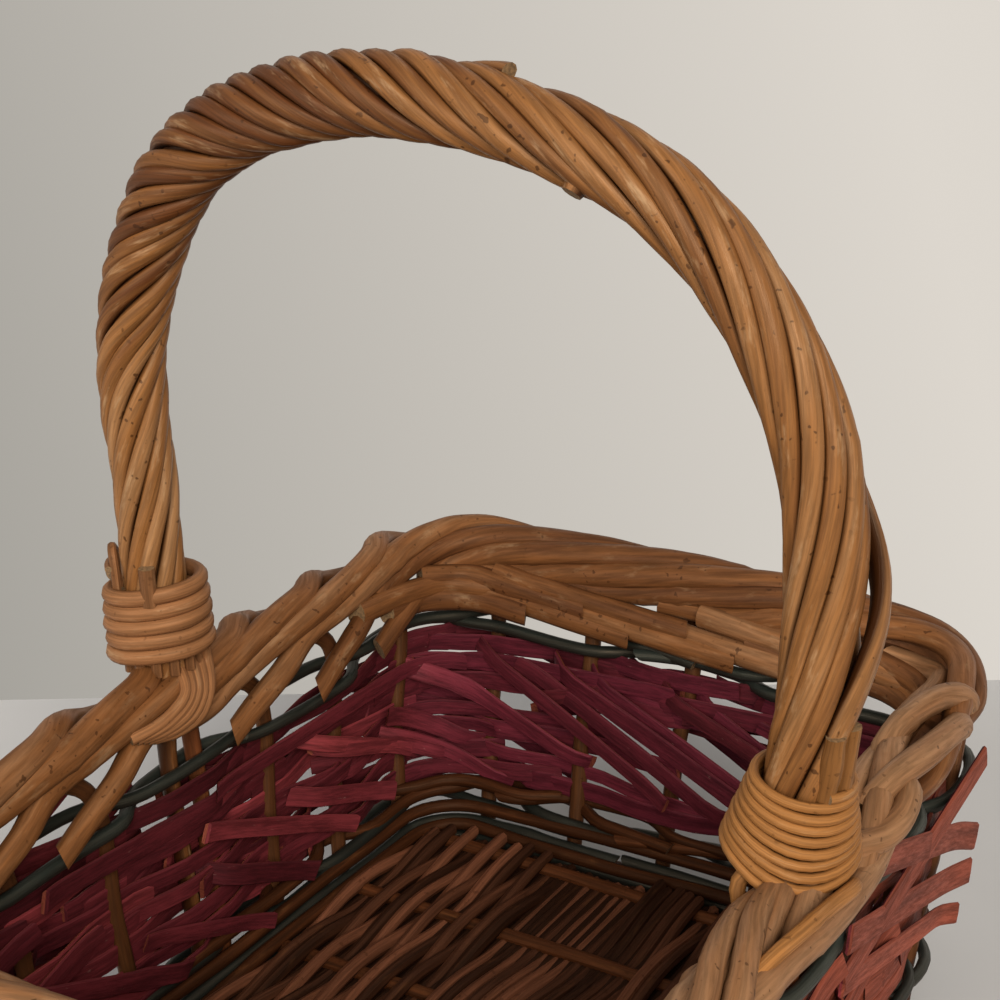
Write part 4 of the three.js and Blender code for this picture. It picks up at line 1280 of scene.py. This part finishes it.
class BASKET_OT_siding(bpy.types.Operator):
    """Weave the stained split strips between the wales"""

    bl_idname = "basket.siding"
    bl_label = "Weave siding"

    # How square a strip's section is, and its sides
    SECTION = {"sides": 8, "power": 0.45}

    def execute(self, context):
        ROWS = 5
        basket = basket_of(context)
        rng = random.Random(7)
        rows = [Strands() for _ in range(ROWS)]
        band = (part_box("siding_row_1")[0].z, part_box(f"siding_row_{ROWS}")[1].z + basket.sizes.wale_raise)
        self.level_strips(basket, rows, band, rng)
        self.rising_strips(basket, rows, band, rng)
        self.flags(basket, rows, rng)
        stained = "stained strip"
        for row, strands in enumerate(rows, 1):
            strands.finish(f"strips_{row}", stained, "red_strip", f"siding_row_{row}", end=stained)
        return {"FINISHED"}

    def strip(self, basket, rows, band, places, heights, face, layer, rng, woven=False):
        """One stiff split strip on a face of the wall or woven through it, its ends tucked or left loose."""
        STEP = 0.14
        CLEARANCE = 0.0003
        LAYER = 0.0021
        TUCK = 0.30
        STEEP = 1.4
        TIPPED = 0.1
        sizes = basket.sizes
        start, end = places
        reach = sizes.stake_diameter / 2 + sizes.strip_thickness / 2 + CLEARANCE + LAYER * layer
        half = sizes.strip_width / 2 * rng.uniform(0.78, 1.15)
        twist = rng.uniform(-0.35, 0.35)
        ends = [rng.choice((-0.0050, -0.0075, 0.0020)) for _ in range(2)]
        steps = max(5, round((end - start) / STEP))
        line = []
        facings = []
        for i in range(steps + 1):
            share = i / steps
            place = mix(start, end, share)
            height = mix(*heights, share)
            tucked = max(0.0, 1 - (place - start) / TUCK) ** 2 * ends[0]
            tucked += max(0.0, 1 - (end - place) / TUCK) ** 2 * ends[1]
            swing = max(-1.0, min(1.0, STEEP * math.cos(math.pi * place)))
            side = face * (0.5 + 0.5 * swing) if woven else face
            line.append(basket.wall(place, height, side * (reach + tucked)))
            facings.append(basket.wall_out(place, height) + UP * (twist * (share - 0.5) + TIPPED))
        wide = grown(half, line, rng.uniform(0, 90), 0.1)
        row = int((sum(heights) / 2 - band[0]) / (band[1] - band[0]) * len(rows))
        tone = rng.betavariate(1.6, 2.2)
        slants = (rng.uniform(-3, 3), rng.uniform(-3, 3))
        thick = sizes.strip_thickness / 2
        strands = rows[max(0, min(len(rows) - 1, row))]
        strands.rod(line, thick, tone, facings, across=wide, slants=slants, **self.SECTION)

    def level_strips(self, basket, rows, band, rng):
        """Strips laid level round the wall, end over end: dense under the wale, fewer below it."""
        OPEN_PLACES = (4.0, 6.6)
        OPEN_BELOW = 0.6
        OPEN_SHARE = 0.5
        # Level in the band, face of the wall, layer on that face and share of strips left out
        plan = (
            (0.97, INSIDE, 0, 0.0),
            (0.93, OUTSIDE, 0, 0.0),
            (0.87, INSIDE, 1, 0.15),
            (0.80, OUTSIDE, 0, 0.05),
            (0.71, INSIDE, 0, 0.30),
            (0.66, OUTSIDE, 0, 0.05),
            (0.55, INSIDE, 0, 0.30),
            (0.50, OUTSIDE, 0, 0.05),
            (0.40, INSIDE, 0, 0.25),
            (0.36, OUTSIDE, 0, 0.05),
            (0.24, INSIDE, 0, 0.20),
            (0.21, OUTSIDE, 0, 0.05),
            (0.09, INSIDE, 0, 0.15),
            (0.05, OUTSIDE, 0, 0.05),
            (-0.07, INSIDE, 1, 0.35),
        )
        for number, (level, face, layer, missing) in enumerate(plan):
            height = mix(*band, level)
            woven = layer == 0
            side = -face if woven and number // 2 % 2 else face
            place = rng.uniform(0, 2)
            finish_at = place + UPRIGHTS
            while place < finish_at:
                run = rng.uniform(2.2, 3.8)
                drift = rng.uniform(-0.003, 0.004)
                opened = OPEN_PLACES[0] < place + run / 2 < OPEN_PLACES[1] and level < OPEN_BELOW
                if rng.random() >= missing + (OPEN_SHARE if opened else 0.0):
                    heights = (height - drift, height + drift)
                    self.strip(basket, rows, band, (place, place + run), heights, side, layer, rng, woven)
                place += run - rng.uniform(0.2, 0.6)

    def rising_strips(self, basket, rows, band, rng):
        """Slanted strips laid over the level ones, most of them rising one way."""
        FALLING = 0.15
        FALL = 0.012
        MARGIN = 0.002
        BELOW = 0.010
        SEEN_INSIDE = 0.66
        LAYERS = (1.0, 1.8, 2.6)
        END_PITCH = 0.30
        SIDE_PITCH = 0.33
        place = 0.0
        while place < UPRIGHTS:
            on_end = basket.wall_out(place + 1, 0.06).y ** 2 > 0.5
            run = rng.uniform(1.9, 2.7) if on_end else rng.uniform(1.2, 2.0)
            climb = run * rng.uniform(0.015, 0.021)
            if rng.random() < FALLING:
                run = rng.uniform(1.0, 1.4)
                climb = -run * FALL
            lowest = band[0] + MARGIN if on_end else band[0] - BELOW
            room = band[1] - MARGIN - lowest - abs(climb)
            share = rng.uniform(0.30, 1.0) if on_end else rng.random()
            foot = lowest + room * share + max(0.0, -climb)
            face = INSIDE if rng.random() < SEEN_INSIDE else OUTSIDE
            layer = rng.choice(LAYERS)
            self.strip(basket, rows, band, (place, place + run), (foot, foot + climb), face, layer, rng)
            place += END_PITCH if on_end else SIDE_PITCH

    def flags(self, basket, rows, rng):
        """Strips that run straight on past a corner instead of bending round it."""
        CORNER_PLACES = (2.75, 14.75)
        HEIGHTS = (0.043, 0.057, 0.074, 0.096)
        SLOPES = (0.0133, 0.0146, 0.0180, -0.0080)
        REACHES = (0.010, 0.019, 0.021, 0.013)
        BACKS = (2.4, 1.8, 1.2, 0.6, 0.0)
        STAND_OFF = 0.0065
        STEP = 0.006
        sizes = basket.sizes
        reach = sizes.stake_diameter / 2 + STAND_OFF
        for corner in CORNER_PLACES:
            for strands, height, slope, far in zip(rows, HEIGHTS, SLOPES, REACHES):
                inner = [basket.wall(corner - back, height + slope * back, reach) for back in BACKS]
                ahead = (inner[-1] - inner[-2]).normalized()
                out = basket.wall_out(corner - 0.5, height)
                tip = inner[-1] + ahead * far + out * rng.uniform(0.0, 0.004)
                tip += UP * rng.uniform(-0.002, 0.002)
                line, _ = smooth_line([*inner, tip], STEP)
                wide = [sizes.strip_width / 2 * rng.uniform(0.95, 1.3)] * len(line)
                tone = rng.uniform(0.5, 1.0)
                strands.rod(line, sizes.strip_thickness / 2, tone, out, across=wide, **self.SECTION)


class BASKET_OT_base(bpy.types.Operator):
    """Weave the base inside its ring of rods"""

    bl_idname = "basket.base"
    bl_label = "Weave base"

    STICKS = 6

    def execute(self, context):
        basket = basket_of(context)
        self.foot(basket)
        self.sticks()
        self.floor(basket)
        return {"FINISHED"}

    def foot(self, basket):
        """Three rods laid side by side round the edge of the base."""
        OFFSETS = (0.0018, -0.0045, -0.0107)
        TONES = (0.4, 0.6, 0.8)
        STEP = 0.12
        GAP = 0.01
        HALF = 0.0031
        FIRST_PLACE = 2.2
        PLACE_STEP = 5.0
        steps = round((UPRIGHTS - GAP) / STEP)
        strands = Strands()
        for number, (offset, tone) in enumerate(zip(OFFSETS, TONES)):
            start = PLACE_STEP * number + FIRST_PLACE
            line = []
            for i in range(steps + 1):
                place = start + (UPRIGHTS - GAP) * i / steps
                line.append(basket.wall(place, 0.0) + basket.base.at(place)[1] * offset + UP * HALF)
            strands.rod(line, HALF, tone, UP, sides=12)
        strands.finish("foot_rods", "floor willow", "base_willow", "foot_ring")

    def sticks(self):
        STEPS = 48
        TONE_STEP = 0.04
        for number in range(1, self.STICKS + 1):
            low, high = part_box(f"base_stick_{number}")
            y = (low.y + high.y) / 2
            z = (low.z + high.z) / 2
            line = [Vector((mix(low.x, high.x, i / STEPS), y, z)) for i in range(STEPS + 1)]
            line = wandering(line, number + 0.4, 0.0008)
            widths = grown((high.z - low.z) / 2, line, number + 70.0)
            strands = Strands()
            strands.rod(line, widths, TONE_STEP * number, UP, flat=0.72)
            strands.finish(f"floor_stick_{number}", "brown willow", "brown_willow", f"base_stick_{number}")

    def floor(self, basket):
        """Rods along the base, a few at a time over and under the sticks, with dark filler rods under the
        gaps as painted shade.
        """
        OVER = "+-+-+-"
        UNDER = "-+-+-+"
        FAR_UNDER = "-+-+--"
        # Rods side by side in each block of the weave
        LEFT_BLOCKS = (1, 2, 1, 1, 2, 1, 1, 2, 1, 1, 2)
        MIDDLE_BLOCKS = ((8, FAR_UNDER), (5, UNDER))
        RIGHT_BLOCKS = (2, 1, 2, 1, 1, 2, 1, 2, 3)
        EDGE = 0.014
        PRESSED = 0.0030
        STEPS = 60
        sizes = basket.sizes
        half = sizes.floor_rod / 2
        sticks = [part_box(f"base_stick_{number}") for number in range(1, self.STICKS + 1)]
        ys = [(low.y + high.y) / 2 for low, high in sticks]
        low, high = sticks[0]
        level = (low.z + high.z) / 2
        crest = (high.z - low.z) / 2 + half - PRESSED
        reach = sizes.base_width / 2 - EDGE - half
        corner = sizes.base_corner - EDGE - half
        blocks = [(count, UNDER if i % 2 else OVER) for i, count in enumerate(LEFT_BLOCKS)]
        blocks += MIDDLE_BLOCKS
        blocks += [(count, UNDER if i % 2 else OVER) for i, count in enumerate(RIGHT_BLOCKS)]
        weave = [states for count, states in blocks for _ in range(count)]
        pitch = 2 * reach / (len(weave) - 1)
        rng = random.Random(5)
        strands = Strands()
        for number, states in enumerate(weave):
            x = number * pitch - reach
            past = max(0.0, abs(x) - (reach - corner))
            end = sizes.base_length / 2 - EDGE - half - corner + math.sqrt(max(0.0, corner**2 - past**2))
            near = -end + rng.uniform(0.0, 0.004)
            far = end - rng.uniform(0.0, 0.004)
            heights = [level + (crest if state == "+" else -crest) for state in states]
            line = []
            for i in range(STEPS + 1):
                y = mix(near, far, i / STEPS)
                mark = max(0.0, min(len(ys) - 1.0, (y - ys[0]) / (ys[1] - ys[0])))
                k = min(int(mark), len(ys) - 2)
                swing = 0.5 - 0.5 * math.cos(math.pi * (mark - k))
                line.append(Vector((x, y, mix(heights[k], heights[k + 1], swing))))
            line = wandering(line, number + 0.9, 0.0006, 0.03)
            widths = grown(half * rng.uniform(0.92, 1.10), line, number + 80.0, 0.06)
            strands.rod(line, widths, rng.random(), UP, sides=8, slants=(0.6, 0.6))
            # Painted shade: a straight rod in the darkest tone under each gap between floor rods, so the lit
            # table does not show through the weave.
            if number:
                shade_filler = [Vector((x - pitch / 2, point.y, level - crest)) for point in line]
                strands.rod(shade_filler, half, 0.0, UP, sides=8)
        strands.finish("floor_rods", "floor willow", "base_willow", "base_weave")


class BASKET_OT_stage(bpy.types.Operator):
    """Set up the camera, the table, the backdrop and soft light"""

    bl_idname = "basket.stage"
    bl_label = "Set stage"

    def execute(self, context):
        scene = context.scene
        settings = scene.basket_stage
        scene.view_settings.view_transform = "Standard"
        self.camera(scene, settings)
        self.table(scene, settings)
        self.lamps(scene)
        self.backdrop(scene, settings)
        return {"FINISHED"}

    def camera(self, scene, settings):
        data = bpy.data.cameras.new("camera")
        data.lens = settings.lens
        data.sensor_width = 36
        camera = bpy.data.objects.new("camera", data)
        scene.collection.objects.link(camera)
        turn = Matrix.Rotation(settings.yaw, 4, "Z") @ Matrix.Rotation(math.pi / 2 - settings.pitch, 4, "X")
        roll = Matrix.Rotation(settings.roll, 4, "Z")
        camera.matrix_world = Matrix.Translation(settings.place) @ turn @ roll
        scene.camera = camera

    def table(self, scene, settings):
        WIDTH = 3.2
        LENGTH = 3.0
        bm = bmesh.new()
        bmesh.ops.create_grid(bm, x_segments=2, y_segments=2, size=0.5)
        bmesh.ops.scale(bm, vec=(WIDTH, LENGTH, 1), verts=bm.verts)
        bmesh.ops.translate(bm, vec=(0, settings.table_reach - LENGTH / 2, 0), verts=bm.verts)
        bmesh.ops.rotate(bm, matrix=Matrix.Rotation(settings.yaw, 3, "Z"), verts=bm.verts)
        bmesh.ops.translate(bm, vec=(settings.place[0], settings.place[1], 0), verts=bm.verts)
        mesh = bpy.data.meshes.new("table")
        bm.to_mesh(mesh)
        bm.free()
        finish = Finish("table top")
        cloud = finish.noise(finish.object_space(), scale=6.0, detail=4.0)
        top = finish.mix(finish.window(cloud, 0.3, 0.7), times(settings.table, 0.95), settings.table)
        finish.surface(Base_Color=top, Roughness=0.9, Specular_IOR_Level=0.1)
        mesh.materials.append(finish.material)
        table = bpy.data.objects.new("table", mesh)
        scene.collection.objects.link(table)

    def lamps(self, scene):
        # Name, place, breadth in degrees, strength and tint
        lamps = (
            ("key", (1.70, -2.00, 1.60), 30.0, 2.97, (1.0, 0.97, 0.92)),
            ("fill", (-0.8, -2.4, 1.0), 48.0, 1.38, (0.95, 0.97, 1.0)),
        )
        middle = Vector((0, 0, 0.15))
        for name, place, breadth, strength, tint in lamps:
            data = bpy.data.lights.new(name, "SUN")
            data.angle = math.radians(breadth)
            data.energy = strength
            data.color = tint
            lamp = bpy.data.objects.new(name, data)
            lamp.location = place
            lamp.rotation_euler = (middle - Vector(place)).to_track_quat("-Z", "Y").to_euler()
            scene.collection.objects.link(lamp)

    def backdrop(self, scene, settings):
        """A pale wall for the camera and reflections, with painted light that brightens it from left to
        right, and an even light from all round for the rest.
        """
        LIGHT = 0.34
        LIGHT_TINT = (1.0, 0.975, 0.94)
        WALL_RISE = 0.25
        WALL_SPAN = (-0.36, 0.16)
        world = bpy.data.worlds.new("studio")
        world.use_nodes = True
        scene.world = world
        tree = NodeSteps(world.node_tree)
        light = tree.nodes["Background"]
        tree.feed(light.inputs["Color"], LIGHT_TINT)
        tree.feed(light.inputs["Strength"], LIGHT)
        side = (math.cos(settings.yaw), math.sin(settings.yaw), WALL_RISE)
        direction = tree.step("ShaderNodeTexCoord", {})
        across = tree.step("ShaderNodeVectorMath", {0: direction, 1: side}, output=1, operation="DOT_PRODUCT")
        span = {"Value": across, "From Min": WALL_SPAN[0], "From Max": WALL_SPAN[1]}
        # Painted light: the wall seen by the camera and in reflections brightens from left to right.
        tint = tree.ramp(
            tree.step("ShaderNodeMapRange", span), [(0.0, settings.wall_shaded_left), (1.0, settings.wall_lit_right)]
        )
        wall = tree.step("ShaderNodeBackground", {"Color": tint, "Strength": 1.0})
        path = tree.nodes.new("ShaderNodeLightPath")
        seen = path.outputs["Is Camera Ray"]
        for ray in ("Is Glossy Ray", "Is Transmission Ray"):
            seen = tree.maths("MAXIMUM", seen, path.outputs[ray])
        shown = tree.step("ShaderNodeMixShader", {0: seen, 1: light.outputs[0], 2: wall})
        tree.feed(tree.nodes["World Output"].inputs["Surface"], shown)


class BASKET_PT_panel(bpy.types.Panel):
    """The basket's pieces, in the order they are made"""

    bl_idname = "BASKET_PT_panel"
    bl_label = "Harvest basket"
    bl_space_type = "VIEW_3D"
    bl_region_type = "UI"
    bl_category = "Basket"

    def draw(self, context):
        for operator in OPERATORS:
            self.layout.operator(operator.bl_idname)


OPERATORS = (
    BASKET_OT_base,
    BASKET_OT_uprights,
    BASKET_OT_wales,
    BASKET_OT_siding,
    BASKET_OT_border,
    BASKET_OT_handle,
    BASKET_OT_left_binding,
    BASKET_OT_right_binding,
    BASKET_OT_stage,
)
CLASSES = (BasketSizes, BasketColours, StageSettings, *OPERATORS, BASKET_PT_panel)


def register():
    for cls in CLASSES:
        bpy.utils.register_class(cls)
    bpy.types.Scene.basket_sizes = PointerProperty(type=BasketSizes)
    bpy.types.Scene.basket_colours = PointerProperty(type=BasketColours)
    bpy.types.Scene.basket_stage = PointerProperty(type=StageSettings)


def unregister():
    del bpy.types.Scene.basket_stage
    del bpy.types.Scene.basket_colours
    del bpy.types.Scene.basket_sizes
    for cls in reversed(CLASSES):
        bpy.utils.unregister_class(cls)


def main():
    register()
    bpy.ops.basket.base()
    bpy.ops.basket.uprights()
    bpy.ops.basket.wales()
    bpy.ops.basket.siding()
    bpy.ops.basket.border()
    bpy.ops.basket.handle()
    bpy.ops.basket.left_binding()
    bpy.ops.basket.right_binding()
    bpy.ops.basket.stage()


if __name__ == "__main__":
    main()
